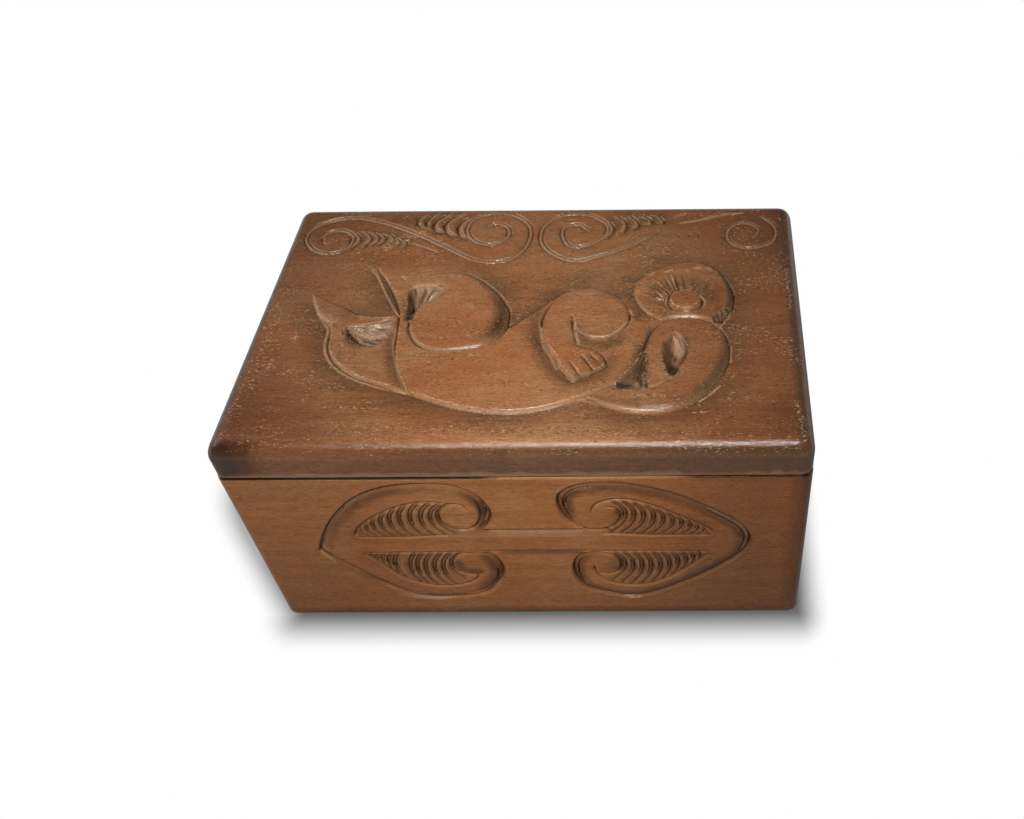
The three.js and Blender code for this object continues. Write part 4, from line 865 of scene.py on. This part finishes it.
for points in (((-75, 46), (-70, 55), (-62.6, 66), (-53, 75.2), (-44, 79.2), (-33, 80.8)),
               ((-13.4, 73), (-12, 66.6), (-13, 60.4)), ((-12.8, 32), (-14, 25), (-20, 17.4), (-28, 14.6)),
               ((-41, 14.2), (-49.6, 17.6), (-58.6, 25.6), (-67.6, 35.6), (-74, 43)),
               ((17, 61), (15, 68.4), (15.8, 74), (19.6, 77.8), (27, 79.6)),
               ((63.6, 66.2), (75, 56), (77.8, 50), (76, 42), (64.6, 29.4)),
               ((26.6, 16), (20.4, 19), (17.4, 26), (17.4, 34), (19.6, 38.6))):
    groove(points, 0.35, 1.5, (2, 2))
    front_face.mark(front_face.dirt_and_shade, points, 0.6, 1.2)

# Scrolls and edges of the leaves
for points, left, right, fade in (
        ([(-17.4, 76), (-14.6, 69), (-14.7, 62), (-18, 56.6), (-23.7, 55.8), (-28.3, 59.3), (-28.9, 65),
          (-25, 69.8), (-20.5, 69.6), (-18, 65.6)], 0.8, 0.8, (6, 3)),
        ([(-23.7, 70.4), (-31, 71.8), (-39.7, 70), (-50, 64.7), (-58.5, 57), (-61.5, 51.4)], 1.4, 0.6, (4, 2)),
        ([(-18.7, 29.6), (-20.5, 27), (-24.5, 27.6), (-28.8, 30.4), (-29.2, 35), (-25.7, 40.3), (-19.5, 41.5)],
         0.8, 0.8, (3, 6)),
        ([(-20, 28.6), (-22.3, 23.4), (-29.7, 20), (-39, 20), (-49, 25), (-55, 33.7), (-61, 41.6)],
         0.6, 1.2, (3, 2)),
        ([(23.8, 63.9), (26, 69), (30.7, 71.8), (37, 72), (44, 69.5), (52, 64.4), (60, 59), (65.7, 54.2),
          (66.7, 52)], 1.2, 0.6, (3, 2)),
        ([(28.7, 68.4), (32.3, 67.7), (34.4, 63.7), (32.6, 58.4), (28.5, 55.7), (23, 55.3), (18.6, 59), (16.1, 65),
          (16, 71.5), (18.6, 76.4)], 0.8, 0.8, (3, 6)),
        ([(22.9, 33.5), (23.3, 28.4), (26, 23.7), (31, 20.8), (38, 19.8), (46, 22), (52.7, 27), (58.7, 33),
          (65.6, 40.6)], 0.6, 1.2, (3, 2)),
        ([(24.2, 29.6), (27.5, 27.2), (31.6, 29.2), (32.8, 33.4), (31, 38.6), (27, 40.6), (22, 41.2)],
         0.8, 0.8, (3, 6))):
    carve(points, (left, STRAIGHT), (right, STRAIGHT), 0.95, fade)

# Edges of the bar
groove([(-15, 55.5), (30, 55.5)], 0.3, 1.9, (4, 4))
groove([(-19, 42.3), (24, 42.3)], 0.3, 1.4, (4, 4))
carve([(-14, 55.2), (22, 55.2)], (0.5, STRAIGHT), (4, ROUNDED), 1.4, (4, 4))
carve([(-19, 42.6), (21, 42.6)], (0.5, STRAIGHT), (2.4, ROUNDED), 1.1, (4, 4))
for points, fade in (([(-61.5, 51.4), (-45, 51.2), (-28, 52.2)], (3, 0)),
                     ([(28, 53), (45, 51.6), (66.7, 51.8)], (0, 3)),
                     ([(-61, 41.6), (-45, 41.7), (-24, 41.9)], (3, 0)),
                     ([(26, 41.9), (45, 41.9), (65.4, 41.4)], (0, 3))):
    groove(points, 0.7, 0.85, fade)


def leaf_chips(tops, bottoms, high_edge, low_edge, bulge):
    """Crescents across a pointed leaf, from its scroll to its tip, and the worn ridges between them. The
    leaf's two edges are paths that run to the right."""
    lines = []
    for k, (top, bottom) in enumerate(zip(tops, bottoms)):
        high = np.interp(top, *np.transpose(high_edge))
        low = np.interp(bottom, *np.transpose(low_edge))
        belly = bulge * (1 - 0.8 * k / len(tops))
        lines.append(np.array([(top, high), (0.75 * top + 0.25 * bottom + 0.8 * belly, 0.75 * high + 0.25 * low),
                               ((top + bottom) / 2 + belly, (high + low) / 2),
                               (0.25 * top + 0.75 * bottom + 0.75 * belly, 0.25 * high + 0.75 * low),
                               (bottom, low)]))
    inwards = -math.copysign(1, bulge)
    for line in lines:
        fade = min(1.5, (line[0, 1] - line[-1, 1]) / 6)
        carve(line, (0.45, STRAIGHT), (0.6, ROUNDED), 0.85, (fade, fade))
        carve(line[:-1], (0.3, STRAIGHT), (0.3, STRAIGHT), 0.8, (fade, fade), shift=1.15 * inwards)
        front_face.mark(front_face.dirt_and_shade, line, 1.2, 1, 0.5 * inwards)
    for first, second in zip(lines, lines[1:]):
        front_face.mark(front_face.pale, (0.55 * first + 0.45 * second)[1:-1], 0.5, 0.5)


leaf_chips([-25.4, -27.8, -31.4, -35.6, -40, -44.4, -48.4, -52.2, -55.2, -57.8],
           [-25.6, -29, -33, -37, -41, -44.6, -47.8, -50.8, -53.8, -56.8],
           [(-61, 54), (-57, 58.5), (-50, 64.5), (-45, 67.5), (-40, 70.3), (-34, 71.6), (-28, 71), (-23, 70)],
           [(-61, 52), (-34, 52), (-23, 53.6)], -4.6)
leaf_chips([-26, -29.4, -33, -36.4, -39.6, -42.4, -48.4, -50.8, -53.2, -55.4, -57.6],
           [-26.6, -30.4, -34, -37.8, -41, -43.8, -49, -51, -53, -55, -57.2], [(-61, 41.4), (-20, 41.6)],
           [(-61, 41), (-56, 35), (-50, 28), (-47, 24.6), (-44, 23), (-38, 20.8), (-30, 20.4), (-26, 26)], -4)
leaf_chips([32.8, 36.2, 40, 43.8, 47.4, 51, 54.4, 57.4, 60.2, 62.8],
           [31, 34.4, 38, 42, 45.6, 49.2, 52.8, 56.4, 59.4, 62],
           [(24, 64), (26, 69), (31, 71.6), (37, 71.8), (44, 69.2), (52, 64.3), (60, 58.8), (66, 54)],
           [(28, 54.6), (33, 53), (66, 52.4)], 4.6)
leaf_chips([31.6, 35, 38.6, 42, 45.4, 48.8, 52.2, 55.4, 58.4, 61],
           [29.6, 32.8, 36.4, 40.4, 44.6, 48.6, 52.2, 55.6, 58.6, 61], [(24, 41.4), (64, 41.8)],
           [(24, 30), (27, 26), (31, 22), (37, 20.4), (40, 20.7), (47, 23.2), (52, 27), (58, 33), (64.5, 39.5)],
           4.2)

# Soiling and painted shade in the slopes inside the outlines, and painted highlights on edges that face up
front_face.mark_all(front_face.dirt_and_shade, (
    ([(-74, 48), (-67, 61), (-57, 72.6), (-46, 79), (-33, 81.2), (-24, 80.8)], 3.4, [0.5, 0.8, 1, 0.8, 0.5, 0.4],
     -2),
    ([(-20, 79), (-14.6, 74), (-11.6, 67), (-12.4, 60), (-15, 56)], 2.8, [0.5, 1, 1.2, 1.2, 0.8], -1.4),
    ([(-14, 39.5), (-11.4, 31), (-12.9, 24.3), (-19, 16.4)], 3.6, [1, 1.2, 1.1, 0.8], -1.8),
    ([(-28.3, 13), (-41.7, 12.8), (-50.3, 16.4), (-59.7, 24.6), (-69, 34.6), (-75, 43)], 1.6, 1, -0.6),
    ([(-73, 37), (-64, 26.6), (-57, 20.6)], 1.4, 0.8, 0.9),
    ([(14.4, 64), (14.4, 74), (18.7, 79), (26.7, 81), (38, 80.6), (52, 76), (66, 67.4), (77, 57), (79.4, 50)], 3.4,
     [0.9, 1.1, 1.1, 0.8, 0.8, 1, 1, 1.1, 1.1], -2),
    ([(79.4, 50), (77.4, 41), (70, 32.6), (60, 24), (49.3, 16.6), (41, 12.6)], 3.4, [1.1, 1.1, 1.2, 1.2, 1.1, 0.9],
     -1.4),
    ([(41, 12.6), (35.3, 12), (26, 14.8), (19.4, 18.2), (16, 25.4), (16, 34), (19, 39.6)], 3,
     [0.8, 0.8, 1, 1.1, 1.1, 1, 0.8], -1.6),
    ([(-23.7, 56.4), (-27.6, 59.6), (-28.4, 64)], 1.8, 0.9, 1),
    ([(-20.5, 28), (-24.5, 28.4), (-28, 31), (-28.4, 35)], 2.6, 0.9, -1.6),
    ([(33, 66), (34, 62), (31.6, 57.6)], 1.6, 1, 0), ([(31, 30), (32.4, 33.4), (31, 38)], 2, 1, -1.2),
    ([(-10, 41.6), (20, 41.6)], 1.6, 0.9, 0), ([(-14, 55.6), (30, 55.6)], 0.6, 1.3, 0),
    ([(-60, 53), (-34, 53)], 1.4, 0.5, 0), ([(36, 53.4), (62, 53)], 1.4, 0.7, 0),
    ([(-58, 54.6), (-46, 59), (-33, 62.4)], 8, 0.5, 0), ([(-58, 39), (-46, 34), (-30, 31)], 7, 0.5, 0),
    ([(36, 62.4), (48, 58.6), (61, 54.6)], 8, 0.65, 0), ([(33, 31), (46, 32), (60, 39)], 8, 0.65, 0)), 1.2)
# Painted highlights on edges that face up
front_face.mark_all(front_face.bruised, (
    ([(-24, 52.6), (-8, 53), (14, 53.4), (29, 53.2)], 1.4, [0.2, 0.45, 0.5, 0.4]),
    ([(-26, 51.8), (10, 51.6), (30, 51.9)], 0.5, 0.9),
    ([(-53, 14.8), (-47, 12.2), (-39, 11), (-32, 11.6)], 1, [0.5, 1, 1, 0.5]),
    ([(-29, 81.6), (-24, 81), (-20.6, 79.8)], 0.6, 1), ([(-43, 21.6), (-38, 20.8)], 0.8, 0.8),
    ([(-24.4, 55.2), (-21, 55)], 0.5, 1), ([(-74.4, 46.4), (-73, 43)], 0.8, 0.8),
    ([(33.4, 20.4), (37, 19.8)], 0.8, 0.7), ([(14, 78.4), (16, 78)], 0.5, 0.8)))
front_face.mark_all(front_face.pale, (
    ([(-73, 39), (-66, 30.4), (-60, 25)], 0.5, 1), ([(-13, 61), (-12, 64)], 0.5, 1.2),
    ([(-22, 13.6), (-14, 21), (-12.4, 27)], 0.5, 0.9), ([(78.6, 48.6), (77.4, 42)], 0.5, 0.9),
    ([(15.8, 70), (16.6, 65), (19, 60)], 0.4, 1), ([(17.4, 26), (20, 20.6)], 0.4, 0.9),
    ([(31, 52.2), (40, 52), (50, 52)], 0.5, 0.95), ([(-28, 51.9), (-44, 51.7)], 0.5, 0.9),
    ([(-58, 43), (-30, 43.2)], 0.4, 0.8), ([(-26, 72.3), (-34, 72.6)], 0.4, 0.8),
    ([(-76, 42.4), (-72, 36)], 0.5, 0.9), ([(-74.8, 47), (-70, 55.6), (-63, 66), (-54, 74.6)], 0.4, 0.85),
    ([(64, 67.4), (76, 56.6), (78.7, 50), (77, 42)], 0.4, 0.9)), 0.65)
front_face.mark(front_face.worn, [(-90, 30), (-60, 12)], 14, 0.5)
front_face.mark_all(front_face.dirt_and_shade, (([(-97, 0), (97, 0)], 6, 1.3), ([(98, 0), (98, 84)], 6, 0.9)))

# The board: the carved sheet goes round the two corners and under the foot


def extend_border(piece, y_level, reach):
    """Draws the open border back to one depth, no wider than reach either side of the middle."""
    select_border(piece)
    bpy.ops.mesh.extrude_edges_move()
    bpy.ops.transform.resize(value=(1, 0, 1), center_override=(0, y_level * MM, 0))
    bpy.ops.object.mode_set(mode="OBJECT")
    points = points_of(piece)
    chosen = np.array([vertex.select for vertex in piece.data.vertices])
    points[chosen, 0] = np.clip(points[chosen, 0], -reach, reach)
    place_points(piece, points)
    bpy.ops.object.mode_set(mode="EDIT")
    bpy.ops.mesh.select_all(action="SELECT")
    bpy.ops.mesh.remove_doubles(threshold=0.002 * MM)
    bpy.ops.object.mode_set(mode="OBJECT")


corner_turn = np.linspace(0, math.pi / 2, 9)[1:]
foot_turn = np.linspace(0, math.pi / 2, 6)[1:]
wall_inside = box_depth / 2 - (front_high[1] - front_low[1])
rim_ease = 0.3


def add_long_wall(name, node, side, face_u, face_v, cut_into):
    """A long wall, on the side y < 0 or y > 0: rounded at its ends and foot, and rebated inside at both ends.
    Past the flat face its lines are angles round the rounding, told apart by so large a number added."""
    apart = 1000
    plan_u = np.concatenate([-corner_turn[::-1] - apart, face_u, corner_turn + apart])
    plan_v = np.concatenate([-foot_turn[::-1] - apart, face_v])
    run_u, run_v = np.meshgrid(plan_u, plan_v)
    turn_u = np.where(np.abs(run_u) >= apart, np.abs(run_u) - apart, 0)
    turn_v = np.where(run_v <= -apart, -run_v - apart, 0)
    inset = foot_radius * (1 - np.cos(turn_v))
    flat_u = np.clip(run_u, -box_width / 2 + corner_radius, box_width / 2 - corner_radius)
    z = np.where(turn_v > 0, foot_radius * (1 - np.sin(turn_v)), run_v)
    inset = inset + np.clip(z - body_top + rim_ease, 0, None)
    x = flat_u + np.sign(run_u) * (corner_radius - inset) * np.sin(turn_u)
    cut_here = cut_into(x, z) * (turn_v == 0) * (turn_u == 0)
    y = side * (box_depth / 2 - corner_radius + (corner_radius - inset) * np.cos(turn_u) - cut_here)
    piece = add_grid(name, len(plan_u), len(plan_v))
    place_points(piece, np.column_stack([x.ravel(), y.ravel(), z.ravel()]))
    thin_out(piece, relief_triangles, *box_of(node))
    extend_border(piece, side * (box_depth / 2 - wall_lip), rebate_x)
    extend_border(piece, side * wall_inside, rebate_x)
    close_behind(piece)
    return piece


waves = front_face.planed()
face_u = front_face.u[np.abs(front_face.u) < box_width / 2 - corner_radius + 0.01]
face_v = front_face.v[(front_face.v > foot_radius - 0.01) & (front_face.v < body_top + 0.01)]
front_piece = add_long_wall("carved_front", "front_board", -1, face_u, face_v,
                            lambda u, v: front_face.read(front_face.depth + waves, u, v))
x, y, z = points_of(front_piece).T
# Painted shade: the front darkens towards its right end, less towards its left end, and towards the foot
front_lit_share = (1 - 0.6 * rise(x, 20, 60)) * (1 - 0.33 * rise(x, -20, -60)) * (1 - 0.36 * rise(z, 60, -50))
keep_stain_and_painted_light(front_piece, front_face, x, z, carved=y < wall_lip - box_depth / 2 - 0.1, soiled=1 - front_lit_share,
           bright_side=1, lit_wall_paleness=0.2, edge_wear=rubbed_rim(x, (z > body_top - 0.7) & (y < 0.6 - box_depth / 2), 0.7))
smooth(front_piece, 50)
front_piece.data.materials.append(stained_wood("stained_front_wood", (0, -40, 10), carved=True,
                                               seam=(25, -box_depth / 2, body_top)))
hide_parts("front_board")
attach(front_piece, "box")

# The back wall: a plain board of the same wood, rounded and rebated like the front. Two mortises in its
# upper edge take the body's hinge leaves.
back_u = np.linspace(-box_width / 2 + corner_radius, box_width / 2 - corner_radius, 65)
back_v = np.concatenate([np.linspace(foot_radius, body_top - rim_ease, 29), [body_top]])
back_piece = add_long_wall("back_wall", "back_board", 1, back_u, back_v,
                           lambda u, v: front_face.read(waves, -u, v))
for side in hinge_sides:
    leaf_low, leaf_high = box_of(f"hinge_{side}_body_leaf")
    seat_bottom = (leaf_low[2] + leaf_high[2]) / 2 - leaf_gap
    cut_hinge_seat(back_piece, side, "body", (leaf_low[0] - hinge_room, leaf_low[1] - hinge_room, seat_bottom),
                   (leaf_high[0] + hinge_room, box_depth / 2 + past_wood, body_top + past_wood))
smooth(back_piece, 50)
back_piece.data.materials.append(stained_wood("stained_back_wood", (0, 90, 30)))
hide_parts("back_board")
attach(back_piece, "box")

# The end walls: flat boards of the same wood, glued into the rebates of the front and the back. They are
# rounded at the foot like them.


def ease(piece, width, segments=2, angle=40):
    """Takes the sharpness off every edge."""
    select_only(piece)
    modifier = piece.modifiers.new("eased", "BEVEL")
    modifier.width, modifier.segments, modifier.limit_method = width * MM, segments, "ANGLE"
    modifier.angle_limit = math.radians(angle)
    bpy.ops.object.modifier_apply(modifier=modifier.name)


def round_over(piece, chosen, radius, segments):
    """Rounds the edges whose two points are both chosen."""
    select_only(piece)
    mesh = piece.data
    for vertex in mesh.vertices:
        vertex.select = bool(chosen[vertex.index])
    for edge in mesh.edges:
        edge.select = bool(chosen[list(edge.vertices)].all())
    for face in mesh.polygons:
        face.select = False
    bpy.ops.object.mode_set(mode="EDIT")
    bpy.ops.mesh.select_mode(type="EDGE")
    bpy.ops.mesh.bevel(offset=radius * MM, segments=segments, affect="EDGES")
    bpy.ops.object.mode_set(mode="OBJECT")


end_wood = stained_wood("stained_end_wood", (0, 70, 25), turn=math.pi / 2)
for node, side in (("left_board", -1), ("right_board", 1)):
    end_piece = add_block(node.replace("board", "end_wall"), *box_of(node))
    x, y, z = points_of(end_piece).T
    round_over(end_piece, (x * side > box_width / 2 - 1) & (z < 1), foot_radius, 6)
    ease(end_piece, 0.25)
    smooth(end_piece, 35)
    end_piece.data.materials.append(end_wood)
    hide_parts(node)
    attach(end_piece, "box")

# The floor of the box: one thin plain board of the same wood, with its edges eased. It is glued between
# the four walls.
floor_piece = add_block("floor", *box_of("bottom_board"))
ease(floor_piece, 0.3)
smooth(floor_piece, 35)
floor_piece.data.materials.append(stained_wood("floor_wood", (0, 20, -60)))
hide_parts("bottom_board")
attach(floor_piece, "box")

# Two butt hinges of brass plate, each leaf rolled into knuckles round a steel pin and held by three
# countersunk, slotted screws. The leaves lie in the mortises, with their screw heads towards the seam.


def metal(name, colour, tarnish):
    """A metal gone dull in patches."""
    finish = Finish(name)
    dull = finish.noise(finish.place(), (0.4, 0.4, 0.4), 4)
    finish.join(finish.mix(finish.ramp(dull, 0.35, 0.7), colour, tarnish), finish.shader.inputs["Base Color"])
    finish.join(finish.ramp(dull, 0.3, 0.7, 0.25, 0.5), finish.shader.inputs["Roughness"])
    finish.shader.inputs["Metallic"].default_value = 1
    return finish.material


def add_solid(name, points, faces):
    mesh = bpy.data.meshes.new(name)
    mesh.from_pydata([tuple(np.array(point) * MM) for point in points], [], faces)
    piece = bpy.data.objects.new(name, mesh)
    bpy.context.scene.collection.objects.link(piece)
    select_only(piece)
    return piece


def turned(name, profile, place, stand, sides=32):
    """A turned solid: its profile gives (radius, height) from one end of its axis to the other, and stand is
    the matrix that lays the axis down."""
    points, faces = [(0, 0, profile[0][1])], []
    for radius, height in profile[1:-1]:
        points += [(radius * math.cos(a), radius * math.sin(a), height)
                   for a in np.arange(sides) * 2 * math.pi / sides]
    points.append((0, 0, profile[-1][1]))
    last = len(points) - 1
    for k in range(sides):
        after = (k + 1) % sides
        faces.append((0, 1 + after, 1 + k))
        faces.append((last, last - sides + k, last - sides + after))
        for ring in range(len(profile) - 3):
            first, second = 1 + ring * sides, 1 + (ring + 1) * sides
            faces.append((first + k, first + after, second + after, second + k))
    return add_solid(name, [np.array(stand @ Vector(point)) + place for point in points], faces)


brass = metal("aged_brass", (0.5, 0.34, 0.12), (0.2, 0.13, 0.045))
steel = metal("pin_steel", (0.35, 0.34, 0.32), (0.14, 0.135, 0.13))
knuckle_radius, pin_hole, leaf_thickness, knuckle_gap = 2, 1.2, 1, 0.15
knuckle_count, roll_sides = 5, 30
screw_threads, thread_pitch = 9, 0.42
slot_half_width, slot_depth = 0.25, 0.5
sink_radius = 2.3
past_leaf, past_knuckle = 1, 3
facing = {"lid": Matrix.Rotation(math.pi, 3, "X"), "body": Matrix.Identity(3)}
hole_profile = [(0, 1), (sink_radius, 1), (sink_radius, 0), (screw_hole_radius, -1), (screw_hole_radius, -3), (0, -3)]
screw_profile = [(0, 0), (1.2, 0), (1.8, -0.04), (1.97, -0.16), (1.05, -0.95)]
for k in range(screw_threads):
    screw_profile += [(0.74, -1.15 - thread_pitch * k), (0.98, -1.36 - thread_pitch * k)]
screw_profile += [(0.72, -5), (0.68, -5.3), (0.3, -6.4), (0, -6.98)]
for side in hinge_sides:
    pin_low, pin_high = box_of(f"hinge_{side}_pin")
    axis = (pin_low + pin_high) / 2
    pin_radius, half_length = (pin_high[2] - pin_low[2]) / 2, (pin_high[0] - pin_low[0]) / 2
    segment = 2 * half_length / knuckle_count
    pin_end = [(pin_radius, half_length - 0.3), (pin_radius * 0.75, half_length), (0, half_length)]
    pin_profile = [(radius, -height) for radius, height in reversed(pin_end)] + pin_end
    pin = turned(f"hinge_pin_{side}", pin_profile, axis, Matrix.Rotation(math.pi / 2, 3, "Y"))
    smooth(pin, 35)
    pin.data.materials.append(steel)
    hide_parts(f"hinge_{side}_pin")
    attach(pin, "box")
    for body, up, own in (("lid", 1, (1, 3)), ("body", -1, (0, 2, 4))):
        leaf_low, leaf_high = box_of(f"hinge_{side}_{body}_leaf")
        near, far = knuckle_radius - leaf_thickness, knuckle_radius
        roll_end, plate_start = math.radians(-200), math.pi - math.asin(near / pin_hole)
        inner = [(pin_hole * math.cos(a), pin_hole * math.sin(a))
                 for a in np.linspace(plate_start, roll_end, roll_sides)]
        outer = [(knuckle_radius * math.cos(a), knuckle_radius * math.sin(a))
                 for a in np.linspace(roll_end, math.pi / 2, roll_sides)]
        section = [(leaf_low[1] - axis[1], near), *inner, *outer, (leaf_low[1] - axis[1], far)]
        points = [(x, axis[1] + y, axis[2] + up * z) for x in (leaf_low[0], leaf_high[0]) for y, z in section]
        count = len(section)
        faces = [tuple(range(count)), tuple(range(2 * count - 1, count - 1, -1))]
        faces += [(k, k + count, (k + 1) % count + count, (k + 1) % count) for k in range(count)]
        leaf = add_solid(f"hinge_leaf_{side}_{body}", points, faces)
        bpy.ops.object.mode_set(mode="EDIT")
        bpy.ops.mesh.select_all(action="SELECT")
        bpy.ops.mesh.normals_make_consistent(inside=False)
        bpy.ops.object.mode_set(mode="OBJECT")
        for k in set(range(knuckle_count)) - set(own):
            gap_low = leaf_low[0] + k * segment - (knuckle_gap if k > 0 else past_leaf)
            gap_high = leaf_low[0] + (k + 1) * segment + (knuckle_gap if k < knuckle_count - 1 else past_leaf)
            gap = add_block("gap", (gap_low, axis[1] - knuckle_radius - hinge_room, axis[2] - past_knuckle),
                            (gap_high, axis[1] + past_knuckle, axis[2] + past_knuckle))
            combine(leaf, gap)
        for k in (1, 2, 3):
            screw_node = f"screw_{side}_{body}_{k}"
            screw_low, screw_high = box_of(screw_node)
            head = (screw_low + screw_high) / 2
            head[2] = axis[2] + up * near
            combine(leaf, turned("hole", hole_profile, head, facing[body]))
            turn = Matrix.Rotation(draws.uniform(-1.2, 1.2), 3, "Z")
            screw = turned(screw_node + "_turned", screw_profile, head, facing[body] @ turn)
            slot_points = [(x, y, z) for x in (-3, 3) for y in (-slot_half_width, slot_half_width)
                           for z in (-slot_depth, 1)]
            slot = add_solid("slot",
                             [np.array(facing[body] @ turn @ Vector(point)) + head for point in slot_points],
                             [(0, 1, 3, 2), (4, 6, 7, 5), (0, 4, 5, 1), (2, 3, 7, 6), (0, 2, 6, 4), (1, 5, 7, 3)])
            combine(screw, slot)
            smooth(screw, 35)
            screw.data.materials.append(brass)
            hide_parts(screw_node)
            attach(screw, "lid" if body == "lid" else "box")
        ease(leaf, 0.1, 1, 50)
        smooth(leaf, 35)
        leaf.data.materials.append(brass)
        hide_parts(f"hinge_{side}_{body}_leaf")
        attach(leaf, "lid" if body == "lid" else "box")

# The table under it: a plain white sheet that keeps the box's shadow. The sheet glows white for the camera, except
# near the box, where a painted shadow reaches out at the left and fades over a few millimetres, and where the sheet
# is greyer for the camera than for other rays. In reflections it glows dimmer, least near the box.
bpy.ops.object.select_all(action="DESELECT")
table_size = 4
bpy.ops.mesh.primitive_plane_add(size=table_size, location=(0, 0, 0))
table = bpy.context.object
table.name = "white_table"
white = Finish("white_paper")
white.shader.inputs["Roughness"].default_value = 0.9
rays = white.node("LightPath", {}).node
seen = white.math("MAXIMUM", rays.outputs["Is Camera Ray"],
                  white.math("MAXIMUM", rays.outputs["Is Glossy Ray"], rays.outputs["Is Transmission Ray"]))
lit_grey, shadow_grey = (0.24, 0.235, 0.23), (0.13, 0.13, 0.13)
white.join(white.mix(rays.outputs["Is Camera Ray"], lit_grey, shadow_grey), white.shader.inputs["Base Color"])
glow = white.node("Emission", {"Color": (1, 1, 1), "Strength": 1})
away = white.node("VectorMath", {0: white.node("TexCoord", {}, output=3)}, output=1, operation="LENGTH")
lit = white.ramp(away, 0.2, 0.6, 0.12, 0.7)
spot = white.node("SeparateXYZ", {0: white.node("TexCoord", {}, output=3)}).node.outputs
# The painted shadow's shape: how far a point lies beyond the box, stretched out as a wedge at the left and shortened
# at the right
half_x, half_y = box_width / 2 * MM, box_depth / 2 * MM
left_start, left_slant, left_return, right_falloff = 0.006, -0.75, 1.2, 1.3
behind_front = white.node("Clamp", {0: white.math("ADD", spot[1], half_y), 1: 0, 2: 0.09})
leftward = white.math("MULTIPLY_ADD", behind_front, left_slant, white.math("SUBTRACT", left_start - half_x, spot[0]))
turning_back = white.math("SMOOTH_MAX", white.math("ADD", spot[1], 0.005), 0, 0.03)
leftward = white.math("MULTIPLY_ADD", turning_back, left_return, leftward)
rightward = white.math("MULTIPLY", white.math("ADD", spot[0], -half_x), right_falloff)
beyond = [white.math("MAXIMUM", white.math("MAXIMUM", leftward, rightward), 0),
          white.math("MAXIMUM", white.math("SUBTRACT", white.math("ABSOLUTE", spot[1]), half_y), 0)]


def length_of(across, along):
    both_ways = white.node("CombineXYZ", {0: across, 1: along})
    return white.node("VectorMath", {0: both_ways}, output=1, operation="LENGTH")


# Painted shadow: the glow fades in over these distances, and never falls below a share that grows away from the box
past_painted_shadow = white.ramp(length_of(*beyond), -0.003, 0.0175, 0, 1)
apart = [white.math("MAXIMUM", white.math("SUBTRACT", white.math("ABSOLUTE", spot[axis]), half), 0)
         for axis, half in ((0, half_x), (1, half_y))]
past_painted_shadow = white.math("MAXIMUM", past_painted_shadow, white.ramp(length_of(*apart), 0.002, 0.02, 0, 0.36))
lit = white.node("Mix", {0: rays.outputs["Is Camera Ray"], 2: lit, 3: past_painted_shadow})
sheet = white.node("MixShader", {0: white.math("MULTIPLY", seen, lit), 1: white.shader.outputs[0], 2: glow})
white.join(sheet, white.tree.nodes["Material Output"].inputs["Surface"])
table.data.materials.append(white.material)

# Studio light: a wide, narrow softbox overhead, a lamp at the left, and a broad one in front that no
# surface mirrors. The room behind gives a little warm light, and shows white to the camera.
world = bpy.data.worlds.new("studio")
bpy.context.scene.world = world
world.use_nodes = True
room_nodes = world.node_tree
paths = room_nodes.nodes.new("ShaderNodeLightPath")
room = room_nodes.nodes["Background"]
backdrop = room_nodes.nodes.new("ShaderNodeBackground")
room.inputs["Color"].default_value = (1, 0.97, 0.93, 1)
room.inputs["Strength"].default_value = 0.16
backdrop.inputs["Color"].default_value = (1, 1, 1, 1)
both = room_nodes.nodes.new("ShaderNodeMixShader")
room_nodes.links.new(paths.outputs["Is Camera Ray"], both.inputs[0])
room_nodes.links.new(room.outputs[0], both.inputs[1])
room_nodes.links.new(backdrop.outputs[0], both.inputs[2])
room_nodes.links.new(both.outputs[0], room_nodes.nodes["World Output"].inputs["Surface"])


def add_softbox(name, place, aim, size, power, mirrored=True):
    lamp = bpy.data.lights.new(name, "AREA")
    lamp.shape, lamp.size, lamp.size_y, lamp.energy = "RECTANGLE", size[0], size[1], power
    holder = bpy.data.objects.new(name, lamp)
    holder.visible_glossy = mirrored
    bpy.context.scene.collection.objects.link(holder)
    holder.matrix_world = (Matrix.Translation(place)
                           @ (Vector(place) - Vector(aim)).to_track_quat("Z", "Y").to_matrix().to_4x4())


add_softbox("overhead_softbox", (0.02, -0.34, 0.62), (0.01, -0.02, 0.07), (0.38, 0.036), 2.5)
add_softbox("left_lamp", (-0.7, 0.15, 0.6), (0, 0, 0.05), (0.6, 0.6), 1.6)
add_softbox("front_lamp", (-0.3, -0.85, 0.4), (0, 0, 0.04), (1.1, 0.7), 2.7, mirrored=False)

# The camera stands where the photograph was taken from. Its place and its lens were fitted to the box's
# straight edges.
bpy.context.scene.view_settings.view_transform = "Standard"
lens = bpy.data.cameras.new("photo_camera")
lens.lens, lens.sensor_width, lens.shift_x = 36.218, 36, -0.17114
camera = bpy.data.objects.new("photo_camera", lens)
bpy.context.scene.collection.objects.link(camera)
camera_place, heading, looking_down, tilt = (0.060823, -0.280835, 0.351443), 0.71, 47.374, -0.906
camera.matrix_world = (Matrix.Translation(camera_place) @ Matrix.Rotation(math.radians(heading), 4, "Z")
                       @ Matrix.Rotation(math.radians(90 - looking_down), 4, "X")
                       @ Matrix.Rotation(math.radians(tilt), 4, "Z"))
bpy.context.scene.camera = camera
